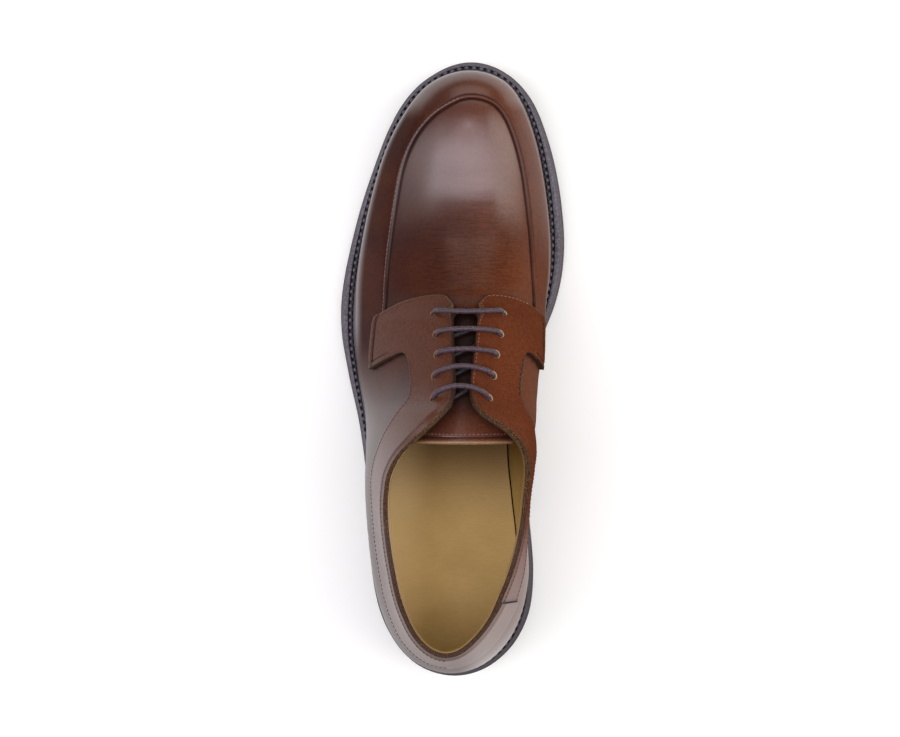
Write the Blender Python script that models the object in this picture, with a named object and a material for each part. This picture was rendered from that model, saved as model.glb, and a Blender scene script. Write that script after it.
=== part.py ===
"""Left derby shoe: hollow upper with a raised apron seam, laced facings and collar band, on a lugged welted sole.

Sizes are in millimetres and turned into metres at the end. Stations run from the back of the sole to the toe,
x runs from the lateral side (negative) to the medial side (positive), and the shoe stands on z = 0.
"""

import math
from collections import namedtuple

import bmesh
import bpy
from mathutils import Vector

MM = 0.001
SOLE_LENGTH = 303.0
GAP = 0.3
LATERAL = -1.0
MEDIAL = 1.0

UPPER_WALL = 2.2
FACING_THICKNESS = 1.4
FACING_GAP = 0.5
SEAM_HEIGHT = 1.3
SEAM_HALF_WIDTH = 1.7
LACE_RADIUS = 1.3

WELT_THICKNESS = 4.0
MIDSOLE_THICKNESS = 2.7
OUTSOLE_THICKNESS = 6.2
INSOLE_RISE = 0.8
LUG_DEPTH = 3.4
WELT_SETBACK = 1.8
MIDSOLE_SETBACK = 0.8

# Plan of the outsole: station, then x on each side.
Plan = namedtuple("Plan", "station lateral medial")
SOLE_PLAN = [
    Plan(0, 1.2, 1.2),
    Plan(7, -19.5, 21.5),
    Plan(16, -28.0, 30.5),
    Plan(32, -36.0, 38.0),
    Plan(50, -39.8, 39.8),
    Plan(75, -41.5, 38.0),
    Plan(100, -43.3, 35.0),
    Plan(125, -47.0, 34.8),
    Plan(150, -52.9, 38.3),
    Plan(170, -56.5, 45.0),
    Plan(182, -56.9, 49.7),
    Plan(195, -55.6, 53.1),
    Plan(211, -52.4, 54.8),
    Plan(231, -47.2, 53.8),
    Plan(251, -40.4, 50.7),
    Plan(271, -32.3, 45.1),
    Plan(282, -26.0, 40.5),
    Plan(292, -17.1, 33.3),
    Plan(298, -8.2, 25.8),
    Plan(303, 9.0, 9.0),
]

# Plan of the line where the upper meets the welt.
FEATHER_PLAN = [
    Plan(6.0, 1.0, 1.0),
    Plan(14, -19.5, 21.0),
    Plan(24, -26.5, 28.3),
    Plan(36, -31.0, 32.3),
    Plan(50, -34.0, 34.3),
    Plan(70, -36.0, 33.8),
    Plan(90, -37.5, 31.5),
    Plan(110, -39.0, 29.6),
    Plan(130, -41.6, 30.0),
    Plan(150, -45.2, 33.0),
    Plan(165, -47.3, 36.7),
    Plan(180, -47.7, 41.3),
    Plan(195, -46.6, 44.4),
    Plan(210, -44.2, 45.6),
    Plan(225, -41.1, 45.2),
    Plan(240, -37.3, 43.7),
    Plan(255, -32.8, 41.3),
    Plan(268, -27.2, 38.1),
    Plan(280, -20.0, 33.8),
    Plan(289, -12.0, 28.2),
    Plan(296.5, 8.8, 8.8),
]

# Plan of the apron seam. Its rear end lies hidden under the facings.
SEAM_PLAN = [
    Plan(110, 5.0, 5.0),
    Plan(130, -28.0, 38.0),
    Plan(160, -31.3, 41.6),
    Plan(180, -31.4, 41.5),
    Plan(192, -31.2, 41.1),
    Plan(204, -30.5, 40.4),
    Plan(217, -29.1, 39.4),
    Plan(234, -26.7, 37.6),
    Plan(249, -23.7, 35.4),
    Plan(258, -20.3, 33.3),
    Plan(267, -15.0, 30.4),
    Plan(274, -8.7, 27.2),
    Plan(280, 0.2, 22.0),
    Plan(283.3, 10.8, 10.8),
]

# Upper edge: the collar to station 130, then the throat, with its centre line, half opening and height.
Edge = namedtuple("Edge", "station centre opening height")
UPPER_EDGE = [
    Edge(16.5, 0.8, 0.0, 101.5),
    Edge(23, 1.0, 12.5, 101.3),
    Edge(33, 1.8, 19.8, 98.0),
    Edge(44, 2.2, 24.5, 94.8),
    Edge(55, 3.1, 28.0, 92.6),
    Edge(66, 3.7, 30.6, 91.3),
    Edge(78, 4.3, 32.5, 91.3),
    Edge(92, 5.3, 33.2, 95.5),
    Edge(104, 7.3, 32.2, 102.8),
    Edge(112, 9.4, 29.2, 109.6),
    Edge(119, 11.2, 23.8, 116.6),
    Edge(125, 11.3, 17.0, 121.0),
    Edge(130, 9.6, 10.5, 121.6),
    Edge(135, 9.2, 5.6, 118.8),
    Edge(142, 9.1, 3.9, 114.0),
    Edge(152, 9.2, 4.3, 108.0),
    Edge(164, 9.4, 5.3, 100.8),
    Edge(174, 9.5, 6.1, 93.2),
]
THROAT_ROUND = 174.0
THROAT_FRONT = 181.0

# Height of the vamp along its spine, forward of the throat.
Ridge = namedtuple("Ridge", "station height")
VAMP_SPINE = [
    Ridge(174, 93.2),
    Ridge(181, 85.6),
    Ridge(186, 79.6),
    Ridge(192, 74.6),
    Ridge(200, 70.6),
    Ridge(210, 66.2),
    Ridge(220, 62.8),
    Ridge(232, 60.4),
    Ridge(246, 59.6),
    Ridge(260, 59.4),
    Ridge(268, 59.0),
]

# Height of the feather line, which the whole sole follows.
FEATHER_HEIGHT = [
    Ridge(0, 39.2),
    Ridge(6, 38.6),
    Ridge(20, 36.8),
    Ridge(50, 34.6),
    Ridge(80, 32.4),
    Ridge(100, 30.4),
    Ridge(120, 28.0),
    Ridge(140, 24.2),
    Ridge(155, 20.6),
    Ridge(170, 18.2),
    Ridge(185, 16.9),
    Ridge(200, 16.5),
    Ridge(220, 16.9),
    Ridge(240, 18.6),
    Ridge(260, 21.3),
    Ridge(275, 24.4),
    Ridge(288, 28.2),
    Ridge(303, 33.0),
]

# Shape of the side wall: how far and how high its lower pull lies from the feather line, and how far out and
# how low its upper pull lies from the upper edge.
Wall = namedtuple("Wall", "station bulge rise shoulder drop")
LATERAL_WALL = [
    Wall(6, 7.0, 22.0, 6.0, 16.5),
    Wall(50, 10.5, 18.0, 5.5, 20.0),
    Wall(90, 10.0, 18.0, 8.0, 22.0),
    Wall(110, 7.5, 25.0, 12.0, 20.0),
    Wall(131, 5.5, 34.0, 20.0, 14.0),
    Wall(150, 9.3, 29.0, 13.0, 6.0),
    Wall(175, 8.0, 25.0, 17.0, 5.0),
    Wall(186, 9.0, 23.0, 21.0, 1.0),
    Wall(200, 10.0, 21.5, 23.0, 0.0),
    Wall(240, 10.5, 17.5, 26.0, 0.0),
    Wall(268, 8.0, 17.0, 24.0, 0.0),
    Wall(296.5, 5.0, 15.5, 21.5, 0.0),
]
MEDIAL_WALL = [
    Wall(6, 7.0, 22.0, 6.0, 16.5),
    Wall(50, 9.3, 17.0, 5.0, 20.0),
    Wall(70, 7.5, 17.0, 1.2, 19.0),
    Wall(90, 9.0, 19.0, -0.5, 18.0),
    Wall(110, 14.5, 26.0, 3.0, 20.0),
    Wall(120, 17.5, 29.0, 9.0, 16.8),
    Wall(131, 22.0, 32.0, 24.5, 13.0),
    Wall(150, 21.5, 30.0, 28.0, 9.0),
    Wall(175, 16.0, 26.0, 25.0, 6.0),
    Wall(186, 13.0, 24.0, 26.0, 1.0),
    Wall(200, 11.5, 22.0, 27.0, 0.0),
    Wall(240, 9.0, 18.0, 25.0, 0.0),
    Wall(268, 7.0, 17.0, 23.0, 0.0),
    Wall(296.5, 5.0, 15.5, 21.5, 0.0),
]

# Ribs of a facing with its collar band, from its lower seam (foot) to the upper edge (head), and below the foot
# down to the hem of the side tab. Clear is how far the head stays from the centre line.
Rib = namedtuple("Rib", "foot foot_height head clear hem hem_height")
FACING_RIBS = [
    Rib(6, 86.5, 6, 0, None, None),
    Rib(12, 84.8, 12, 0, None, None),
    Rib(22, 81.6, 22, 0, None, None),
    Rib(36, 77.6, 36, 0, None, None),
    Rib(52, 74.6, 52, 0, None, None),
    Rib(68, 73.2, 68, 0, None, None),
    Rib(84, 74.8, 84, 0, None, None),
    Rib(98, 79.4, 98, 0, None, None),
    Rib(111, 86.6, 109, 0, None, None),
    Rib(122, 94.0, 117, 0, None, None),
    Rib(131, 98.4, 123, 0, None, None),
    Rib(139, 96.6, 129, 0, None, None),
    Rib(147, 92.0, 136, 0, None, None),
    Rib(155, 87.4, 145, 0, None, None),
    Rib(160, 83.4, 154, 0, 151, 60.0),
    Rib(167, 77.8, 164, 0, 159, 58.8),
    Rib(174, 72.4, 174, 0, 167, 57.8),
    Rib(179.5, 68.0, 182.2, 6.4, 173, 57.2),
    Rib(182, 66.0, 185.5, 8.6, 176, 57.0),
]

# Tongue sections: centre height, half width, how far the edges hang and how far each lies to the side.
Flap = namedtuple("Flap", "station height half_width droop centre")
TONGUE_FLAP = [
    Flap(192, 71.2, 15.0, 5.0, 9.5),
    Flap(181, 78.8, 16.5, 8.0, 9.5),
    Flap(166, 89.0, 18.5, 12.5, 9.4),
    Flap(150, 99.0, 20.5, 14.5, 9.2),
    Flap(135, 107.4, 22.0, 15.0, 9.4),
    Flap(124, 113.0, 23.0, 13.5, 9.6),
    Flap(117, 116.4, 23.5, 12.5, 9.6),
]
TONGUE_THICKNESS = 2.2

# Lace bars: station and distance of the eyelets from the centre line, and how far forward and how high above the
# throat's edge the middle lies.
Bar = namedtuple("Bar", "station lateral medial forward arch")
LACE_BARS = [
    Bar(176.8, 14.4, 16.9, -0.8, 6.4),
    Bar(167.2, 12.5, 15.8, 1.4, 6.2),
    Bar(157.7, 11.6, 14.3, 1.7, 6.0),
    Bar(147.7, 12.3, 13.2, 3.8, 5.8),
    Bar(137.0, 12.7, 11.6, 4.6, 5.6),
]

# Lugs along both edges of the forepart, and the bars across its middle.
Lug = namedtuple("Lug", "start end")
EDGE_LUGS = [
    Lug(144.5, 157.0),
    Lug(166.0, 180.0),
    Lug(190.5, 202.0),
    Lug(212.0, 223.5),
    Lug(235.0, 246.5),
    Lug(256.5, 267.0),
    Lug(274.5, 283.0),
]
EDGE_LUG_WIDTH = 15.0
MIDDLE_LUGS = [Lug(158, 168), Lug(179, 189), Lug(200, 210), Lug(221, 231), Lug(243, 253), Lug(264, 273)]
MIDDLE_LUG_INSET = 24.0
BALL_START = 160.0
BALL_END = 226.0

# Heel block: breast, the chamfer under it and the notches in its tread, as station and height outlines.
HEEL_BREAST = 81.0
HEEL_FLAT_END = 75.0
HEEL_CHAMFER = 2.5
HEEL_BAND = 3.4
NOTCH_LENGTH = 22.0
Corner = namedtuple("Corner", "station height")
SIDE_NOTCH = [Corner(22, -1.0), Corner(29, 4.3), Corner(38.5, 4.3), Corner(50, -1.0)]
REAR_NOTCH = [Corner(-5, -1.0), Corner(14.5, -1.0), Corner(14.5, 4.6), Corner(8, 4.6), Corner(-5, 3.2)]
WAIST_STEP = [Corner(81.6, 24.0), Corner(81.6, 10.0), Corner(90.0, 10.0), Corner(97.0, 13.6), Corner(97.0, 24.0)]


class Spline:
    """A smooth curve through (knot, value) pairs, with three-point slopes at the knots."""

    def __init__(self, pairs, period=None):
        self.knots = [pair[0] for pair in pairs]
        self.values = [pair[1] for pair in pairs]
        chords = []
        for index in range(len(pairs) - 1):
            width = self.knots[index + 1] - self.knots[index]
            chords.append((self.values[index + 1] - self.values[index]) / width)
        self.slopes = [chords[0]]
        for index in range(1, len(chords)):
            before = self.knots[index] - self.knots[index - 1]
            after = self.knots[index + 1] - self.knots[index]
            self.slopes.append((chords[index - 1] * after + chords[index] * before) / (before + after))
        self.slopes.append(chords[-1])
        if period:
            self.slopes[0] = self.slopes[-1] = (chords[0] + chords[-1]) / 2

    def __call__(self, at):
        if at <= self.knots[0]:
            return self.values[0]
        if at >= self.knots[-1]:
            return self.values[-1]
        low = max(i for i, knot in enumerate(self.knots) if knot <= at)
        width = self.knots[low + 1] - self.knots[low]
        share = (at - self.knots[low]) / width
        rest = 1.0 - share
        start = self.values[low] * (1 + 2 * share) + self.slopes[low] * width * share
        end = self.values[low + 1] * (1 + 2 * rest) - self.slopes[low + 1] * width * rest
        return start * rest * rest + end * share * share


def column(rows, name, warp=None):
    """Smooth curve of one named column of a table over its stations."""
    place = warp or (lambda station: station)
    return Spline([(place(row.station), getattr(row, name)) for row in rows])


class Outline:
    """A closed plan curve. Its turn is 0 at the heel, negative on the lateral side and pi at the toe."""

    def __init__(self, rows):
        self.start = rows[0].station
        self.end = rows[-1].station
        pairs = [(-self.turn(row.station), row.lateral) for row in reversed(rows)]
        pairs += [(self.turn(row.station), row.medial) for row in rows[1:]]
        self.across = Spline(pairs, period=2 * math.pi)

    def turn(self, station):
        share = (station - self.start) / (self.end - self.start)
        return math.acos(max(-1.0, min(1.0, 1.0 - 2.0 * share)))

    def station(self, turn):
        return self.start + (self.end - self.start) * (1.0 - math.cos(turn)) / 2.0

    def x(self, side, station):
        return self.across(side * self.turn(station))

    def point(self, turn, inset=0.0):
        spot = Vector((self.across(turn), self.station(turn)))
        if inset:
            step = 0.01
            ahead = turn + step
            behind = turn - step
            run = Vector((self.across(wrap(ahead)) - self.across(wrap(behind)),
                          self.station(ahead) - self.station(behind)))
            run.normalize()
            spot -= Vector((run.y, -run.x)) * inset
        return spot


def wrap(turn):
    """The same turn between minus pi and pi."""
    return (turn + math.pi) % (2 * math.pi) - math.pi


SOLE = Outline(SOLE_PLAN)
FEATHER = Outline(FEATHER_PLAN)
SEAM = Outline(SEAM_PLAN)

COLLAR_BACK = UPPER_EDGE[0].station


def from_back(station):
    """Root of the distance from the back of the collar, in which its round end is straight."""
    return math.sqrt(max(0.0, station - COLLAR_BACK))


edge_centre = column(UPPER_EDGE, "centre")
edge_opening = column(UPPER_EDGE, "opening", from_back)
edge_height = column(UPPER_EDGE, "height")
vamp_height = column(VAMP_SPINE, "height")
feather_height = column(FEATHER_HEIGHT, "height")
wall_shape = {}
for wall_side, wall_rows in ((LATERAL, LATERAL_WALL), (MEDIAL, MEDIAL_WALL)):
    for wall_name in ("bulge", "rise", "shoulder", "drop"):
        wall_shape[wall_side, wall_name] = column(wall_rows, wall_name)

HEEL_FAN = 45.0
TOE_FAN = 230.0
SPINE_END = VAMP_SPINE[-1].station


def top_station(station):
    """Station of the upper edge that belongs to a station of the feather line."""
    if station < HEEL_FAN:
        share = (HEEL_FAN - station) / (HEEL_FAN - FEATHER.start)
        return station + (COLLAR_BACK - FEATHER.start) * share * share
    if station > TOE_FAN:
        share = (station - TOE_FAN) / (FEATHER.end - TOE_FAN)
        rest = 1.0 - share
        lead = (FEATHER.end - TOE_FAN) / (SPINE_END - TOE_FAN)
        eased = lead * share * rest * rest + share * share * (3 - 2 * share) - 0.6 * share * share * rest
        return TOE_FAN + (SPINE_END - TOE_FAN) * eased
    return station


def opening(station):
    """Half the gap between the two sides of the upper edge, closed in a round end at the throat."""
    if station >= THROAT_FRONT:
        return 0.0
    wide = edge_opening(from_back(station))
    if station > THROAT_ROUND:
        share = (station - THROAT_ROUND) / (THROAT_FRONT - THROAT_ROUND)
        wide *= math.sqrt(1.0 - share * share)
    return wide


def upper_edge(side, station):
    """Point of the collar, throat or vamp spine at one station."""
    height = edge_height(station) if station < THROAT_ROUND else vamp_height(station)
    return Vector((edge_centre(station) + side * opening(station), station, height))


def wall(turn, share):
    """Point of the upper's outer face: share runs from the feather line (0) to the upper edge (1)."""
    turn = wrap(turn)
    side = LATERAL if turn < 0 else MEDIAL
    foot = FEATHER.point(turn)
    station = foot.y
    top = upper_edge(side, top_station(station))
    if station < HEEL_FAN:
        hub = Vector((edge_centre(HEEL_FAN), HEEL_FAN))
    elif station > TOE_FAN:
        hub = top.xy
    else:
        hub = Vector((foot.x - side, station))
    out = (foot - hub).normalized()
    shape = {name: wall_shape[side, name](station) for name in ("bulge", "rise", "shoulder", "drop")}
    low = foot.to_3d()
    low.z = feather_height(station) + GAP
    pull_low = (foot + out * shape["bulge"]).to_3d()
    pull_low.z = low.z + shape["rise"]
    pull_high = (top.xy + out * shape["shoulder"]).to_3d()
    pull_high.z = top.z - shape["drop"]
    rest = 1.0 - share
    return (low * rest ** 3 + pull_low * (3 * rest * rest * share)
            + pull_high * (3 * rest * share * share) + top * share ** 3)


def wall_normal(turn, share):
    """Outward direction of the upper's outer face."""
    share = min(max(share, 0.02), 0.98)
    along = wall(turn + 0.01, share) - wall(turn - 0.01, share)
    up = wall(turn, share + 0.01) - wall(turn, share - 0.01)
    return along.cross(up).normalized()


def raised(turn, share, height):
    """Point above the upper's outer face."""
    return wall(turn, share) + wall_normal(turn, share) * height


def search(test):
    """Share at which a test on the wall turns from true to false, going up from the feather line."""
    low, high = 0.0, 1.0
    for _ in range(26):
        middle = (low + high) / 2
        if test(middle):
            low = middle
        else:
            high = middle
    return (low + high) / 2


def share_at_height(turn, height):
    return search(lambda share: wall(turn, share).z < height)


def share_at_clear(turn, clear):
    """Share at which the wall comes within a distance of the centre line."""
    return search(lambda share: abs(wall(turn, share).x - edge_centre(wall(turn, share).y)) > clear)


def share_at_seam(turn):
    """Share at which the wall crosses the apron seam's plan."""
    def outside(share):
        spot = wall(turn, share)
        if spot.y >= SEAM.end:
            return True
        return not SEAM.x(LATERAL, spot.y) < spot.x < SEAM.x(MEDIAL, spot.y)
    return search(outside)


class Net:
    """A mesh under construction, in millimetres, that shares equal points."""

    def __init__(self):
        self.points = []
        self.index = {}
        self.faces = []

    def add(self, spot):
        key = (round(spot.x, 4), round(spot.y, 4), round(spot.z, 4))
        if key not in self.index:
            self.index[key] = len(self.points)
            self.points.append(spot)
        return self.index[key]

    def face(self, *spots):
        ring = []
        for spot in spots:
            number = self.add(spot)
            if number not in ring:
                ring.append(number)
        if len(ring) > 2:
            self.faces.append(ring)

    def sheet(self, rows, flip=False):
        """Four-sided faces between rows of points."""
        for row, after in zip(rows, rows[1:]):
            for left in range(len(row) - 1):
                corners = [row[left], row[left + 1], after[left + 1], after[left]]
                if flip:
                    corners.reverse()
                self.face(*corners)

    def build(self, name, colour, roughness=0.6):
        mesh = bpy.data.meshes.new(name)
        places = [((p.x * MM), ((p.y - SOLE_LENGTH / 2) * MM), (p.z * MM)) for p in self.points]
        mesh.from_pydata(places, [], self.faces)
        shape = bmesh.new()
        shape.from_mesh(mesh)
        bmesh.ops.recalc_face_normals(shape, faces=shape.faces)
        shape.to_mesh(mesh)
        shape.free()
        piece = bpy.data.objects.new(name, mesh)
        dress(piece, colour, roughness)
        return piece


def dress(piece, colour, roughness=0.6):
    """Give a piece its plain material and put it in the shoe's collection."""
    material = bpy.data.materials.new(piece.name)
    material.use_nodes = True
    shader = material.node_tree.nodes["Principled BSDF"]
    shader.inputs["Base Color"].default_value = (*colour, 1.0)
    shader.inputs["Roughness"].default_value = roughness
    piece.data.materials.append(material)
    SHOE.objects.link(piece)


def slab(net, outline, inset, top, bottom, steps=44):
    """A plate with the plan of an outline and faces that follow two heights along the shoe."""
    rows = []
    for step in range(steps + 1):
        turn = math.pi * step / steps
        left = outline.point(-turn, inset)
        right = outline.point(turn, inset)
        if step in (0, steps):
            left = right
        rows.append([
            Vector((left.x, left.y, bottom(left.y))),
            Vector((left.x, left.y, top(left.y))),
            Vector((right.x, right.y, top(right.y))),
            Vector((right.x, right.y, bottom(right.y))),
            Vector((left.x, left.y, bottom(left.y))),
        ])
    net.sheet(rows)


def block(net, sections):
    """A closed solid through sections of equal numbers of points, capped at both ends."""
    closed = [list(section) + [section[0]] for section in sections]
    net.sheet(closed)
    net.face(*reversed(sections[0]))
    net.face(*sections[-1])


def cutter(name, net):
    """A shape that only cuts another one."""
    piece = net.build(name, (0.5, 0.5, 0.5))
    SHOE.objects.unlink(piece)
    TOOLS.objects.link(piece)
    piece.hide_render = True
    piece.display_type = "WIRE"
    return piece


def combine(piece, tool, operation):
    change = piece.modifiers.new(tool.name, "BOOLEAN")
    change.object = tool
    change.operation = operation
    change.solver = "EXACT"


def midsole_top(station):
    return feather_height(station) - WELT_THICKNESS - GAP


def outsole_top(station):
    return midsole_top(station) - MIDSOLE_THICKNESS - GAP


def outsole_bottom(station):
    return outsole_top(station) - OUTSOLE_THICKNESS


def lug_bottom(station):
    """Tread height: flat on the floor under the ball, then up with the arch and the toe spring."""
    if BALL_START <= station <= BALL_END:
        return 0.0
    return max(0.0, outsole_bottom(station) - LUG_DEPTH)


def make_outsole():
    plate = Net()
    slab(plate, SOLE, 0.0, outsole_top, outsole_bottom)
    outsole = plate.build("outsole", (0.05, 0.047, 0.05))
    tread = Net()
    for side in (LATERAL, MEDIAL):
        for lug in EDGE_LUGS:
            sections = []
            for share in (0.0, 0.5, 1.0):
                station = lug.start + (lug.end - lug.start) * share
                outer = SOLE.x(side, station) - side * 0.5
                inner = outer - side * EDGE_LUG_WIDTH
                high = outsole_bottom(station) + 1.5
                low = lug_bottom(station)
                sections.append([
                    Vector((outer, station, low)),
                    Vector((outer, station, high)),
                    Vector((inner, station, high)),
                    Vector((inner, station, low)),
                ])
            block(tread, sections)
    for lug in MIDDLE_LUGS:
        sections = []
        for share in (0.0, 0.5, 1.0):
            station = lug.start + (lug.end - lug.start) * share
            left = SOLE.x(LATERAL, station) + MIDDLE_LUG_INSET
            right = SOLE.x(MEDIAL, station) - MIDDLE_LUG_INSET
            high = outsole_bottom(station) + 1.5
            low = lug_bottom(station)
            sections.append([
                Vector((left, station, low)),
                Vector((left, station, high)),
                Vector((right, station, high)),
                Vector((right, station, low)),
            ])
        block(tread, sections)
    step = Net()
    left = SOLE.x(LATERAL, HEEL_BREAST) + 1.5
    right = SOLE.x(MEDIAL, HEEL_BREAST) - 2.5
    raise_top = outsole_bottom(WAIST_STEP[-1].station) + 1.5
    profile = [Vector((0, c.station, min(c.height, raise_top))) for c in WAIST_STEP]
    block(step, [[spot + Vector((x, 0, 0)) for spot in profile] for x in (left, right)])
    combine(outsole, cutter("tread_lugs", tread), "UNION")
    combine(outsole, cutter("waist_step", step), "UNION")


def make_heel():
    def ring(height, inset, breast):
        end = SOLE.turn(breast)
        points = []
        for step in range(29):
            spot = SOLE.point(-end + 2 * end * step / 28, inset)
            points.append(Vector((spot.x, min(spot.y, breast), height(min(spot.y, breast)))))
        return points

    def top(station):
        return outsole_bottom(station) - 1.5 * GAP

    levels = [
        ring(lambda station: 0.0, 1.4, HEEL_FLAT_END),
        ring(lambda station: HEEL_CHAMFER, 1.2, HEEL_BREAST),
        ring(lambda station: top(station) - HEEL_BAND, 0.2, HEEL_BREAST),
        ring(top, 1.9, HEEL_BREAST),
    ]
    body = Net()
    block(body, levels)
    heel = body.build("heel", (0.05, 0.047, 0.05))
    for side, name in ((LATERAL, "notch_lateral"), (MEDIAL, "notch_medial")):
        notch = Net()
        reach = (side * 60.0, SOLE.x(side, 36.0) - side * NOTCH_LENGTH)
        block(notch, [[Vector((x, c.station, c.height)) for c in SIDE_NOTCH] for x in sorted(reach)])
        combine(heel, cutter(name, notch), "DIFFERENCE")
    rear = Net()
    block(rear, [[Vector((x, c.station, c.height)) for c in REAR_NOTCH] for x in (-60.0, 60.0)])
    combine(heel, cutter("notch_rear", rear), "DIFFERENCE")


def make_welt():
    """Storm welt: a ledge round the shoe with a raised lip that stands close to the upper."""
    net = Net()
    loop = []
    steps = 64
    for step in range(steps + 1):
        turn = wrap(2 * math.pi * step / steps)
        inner = FEATHER.point(turn)
        outer = SOLE.point(turn, WELT_SETBACK)
        reach = (outer - inner).length
        out = (outer - inner).normalized()
        section = [
            (reach, -WELT_THICKNESS),
            (reach, -0.7),
            (max(reach - 0.5, 3.1), -0.3),
            (3.0, -0.3),
            (2.6, 1.3),
            (1.5, 1.3),
            (0.4, 0.0),
            (-4.0, 0.0),
            (-4.0, -WELT_THICKNESS),
            (reach, -WELT_THICKNESS),
        ]
        row = []
        for far, rise in section:
            spot = inner + out * far
            row.append(Vector((spot.x, spot.y, feather_height(spot.y) + rise)))
        loop.append(row)
    net.sheet(loop)
    net.build("welt", (0.03, 0.029, 0.032))


def make_midsole():
    net = Net()
    slab(net, SOLE, MIDSOLE_SETBACK, midsole_top, lambda station: midsole_top(station) - MIDSOLE_THICKNESS)
    net.build("midsole", (0.08, 0.075, 0.08))


def make_insole():
    net = Net()
    slab(net, FEATHER, 4.5, lambda station: feather_height(station) + INSOLE_RISE,
         lambda station: midsole_top(station) + GAP)
    net.build("insole", (0.55, 0.36, 0.18))


LOW_ROWS = 5
HIGH_ROWS = 6
FACING_START = 118.0
FACING_END = 196.0


def make_upper():
    steps = 32
    stations = [FEATHER.station(math.pi * step / steps) for step in range(steps + 1)]
    stations += [(a + b) / 2 for a, b in zip(stations, stations[1:]) if FACING_START < a < FACING_END]
    throat = (THROAT_ROUND, 177.5, 179.8, THROAT_FRONT)
    stations = [s for s in stations if all(abs(s - place) > 1.5 for place in throat)]
    turns = [FEATHER.turn(station) for station in sorted(stations + list(throat))]
    turns[0], turns[-1] = 0.0, math.pi
    ring = [-turn for turn in reversed(turns)] + turns[1:]
    seam_hold = {side: share_at_seam(side * FEATHER.turn(182.0)) for side in (LATERAL, MEDIAL)}
    outside, inside, is_open = [], [], []
    for turn in ring:
        side = LATERAL if turn < 0 else MEDIAL
        station = FEATHER.station(turn)
        seam = share_at_seam(turn) if station > 182.0 else seam_hold[side]
        fade = max(0.0, min(1.0, (station - 180.0) / 4.0))
        spread_rate = (wall(turn, seam + 0.01) - wall(turn, seam - 0.01)).length / 0.02
        half = SEAM_HALF_WIDTH / spread_rate
        shares = [(seam - half) * step / LOW_ROWS for step in range(LOW_ROWS + 1)]
        shares.append(seam)
        shares += [seam + half + (1.0 - seam - half) * step / HIGH_ROWS for step in range(HIGH_ROWS + 1)]
        outer_row, inner_row = [], []
        for number, share in enumerate(shares):
            normal = wall_normal(turn, share)
            spot = wall(turn, share)
            joined = share == 1.0 and opening(top_station(station)) == 0.0
            if joined:
                normal = (normal + wall_normal(-turn, share)).normalized()
                spot.x = edge_centre(spot.y)
            lift = SEAM_HEIGHT * fade if number == LOW_ROWS + 1 else 0.0
            outer_row.append(spot + normal * lift)
            inner_row.append(spot - normal * UPPER_WALL)
        outside.append(outer_row)
        inside.append(inner_row)
        is_open.append(opening(top_station(station)) > 0.0 or abs(turn) < 0.01)
    net = Net()
    net.sheet(outside)
    net.sheet(inside, flip=True)
    for index in range(len(ring) - 1):
        net.face(outside[index][0], outside[index + 1][0], inside[index + 1][0], inside[index][0])
        if is_open[index] or is_open[index + 1]:
            net.face(outside[index][-1], outside[index + 1][-1], inside[index + 1][-1], inside[index][-1])
    net.build("upper", (0.13, 0.045, 0.025), 0.4)


def finer(spots):
    """The same row of wall places with one more on the smooth curve between each two."""
    turns = Spline([(number, spot[0]) for number, spot in enumerate(spots)])
    shares = Spline([(number, spot[1]) for number, spot in enumerate(spots)])
    return [(turns(number / 2), shares(number / 2)) for number in range(2 * len(spots) - 1)]


def make_facing(side, name):
    """Facing, side tab and collar band as one sheet that stands off the upper by the gap."""
    def on_wall(station, height=None, clear=0.0):
        turn = side * FEATHER.turn(station)
        if height is not None:
            return turn, share_at_height(turn, height)
        return turn, (share_at_clear(turn, clear) if clear else 1.0)

    def between(start, end, steps):
        spots = []
        for step in range(steps + 1):
            share = step / steps
            spots.append((start[0] + (end[0] - start[0]) * share, start[1] + (end[1] - start[1]) * share))
        return spots

    feet = [on_wall(rib.foot, height=rib.foot_height) for rib in FACING_RIBS]
    heads = [on_wall(rib.head, clear=rib.clear) for rib in FACING_RIBS]
    hems = [on_wall(rib.hem, height=rib.hem_height) for rib in FACING_RIBS if rib.hem]
    first = len(feet) - len(hems)
    bands = [between(foot, head, 6) for foot, head in zip(finer(feet), finer(heads))]
    tabs = [between(hem, foot, 4) for hem, foot in zip(finer(hems), finer(feet)[2 * first:])]
    under, over = FACING_GAP, FACING_GAP + FACING_THICKNESS
    net = Net()
    edges = []
    for rows in (bands, tabs):
        low = [[raised(turn, share, under) for turn, share in row] for row in rows]
        high = [[raised(turn, share, over) for turn, share in row] for row in rows]
        net.sheet(low)
        net.sheet(high, flip=True)
        edges.append((low, high))
    (low, high), (tab_low, tab_high) = edges

    def rim(under_line, over_line):
        net.sheet([under_line, over_line])

    first_tab = len(bands) - len(tabs)
    rim([row[0] for row in low[:first_tab + 1]], [row[0] for row in high[:first_tab + 1]])
    rim([row[-1] for row in low], [row[-1] for row in high])
    rim([row[0] for row in tab_low], [row[0] for row in tab_high])
    rim(low[0], high[0])
    rim(low[-1], high[-1])
    rim(tab_low[0], tab_high[0])
    rim(tab_low[-1], tab_high[-1])
    net.build(name, (0.14, 0.05, 0.028), 0.4)


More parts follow.
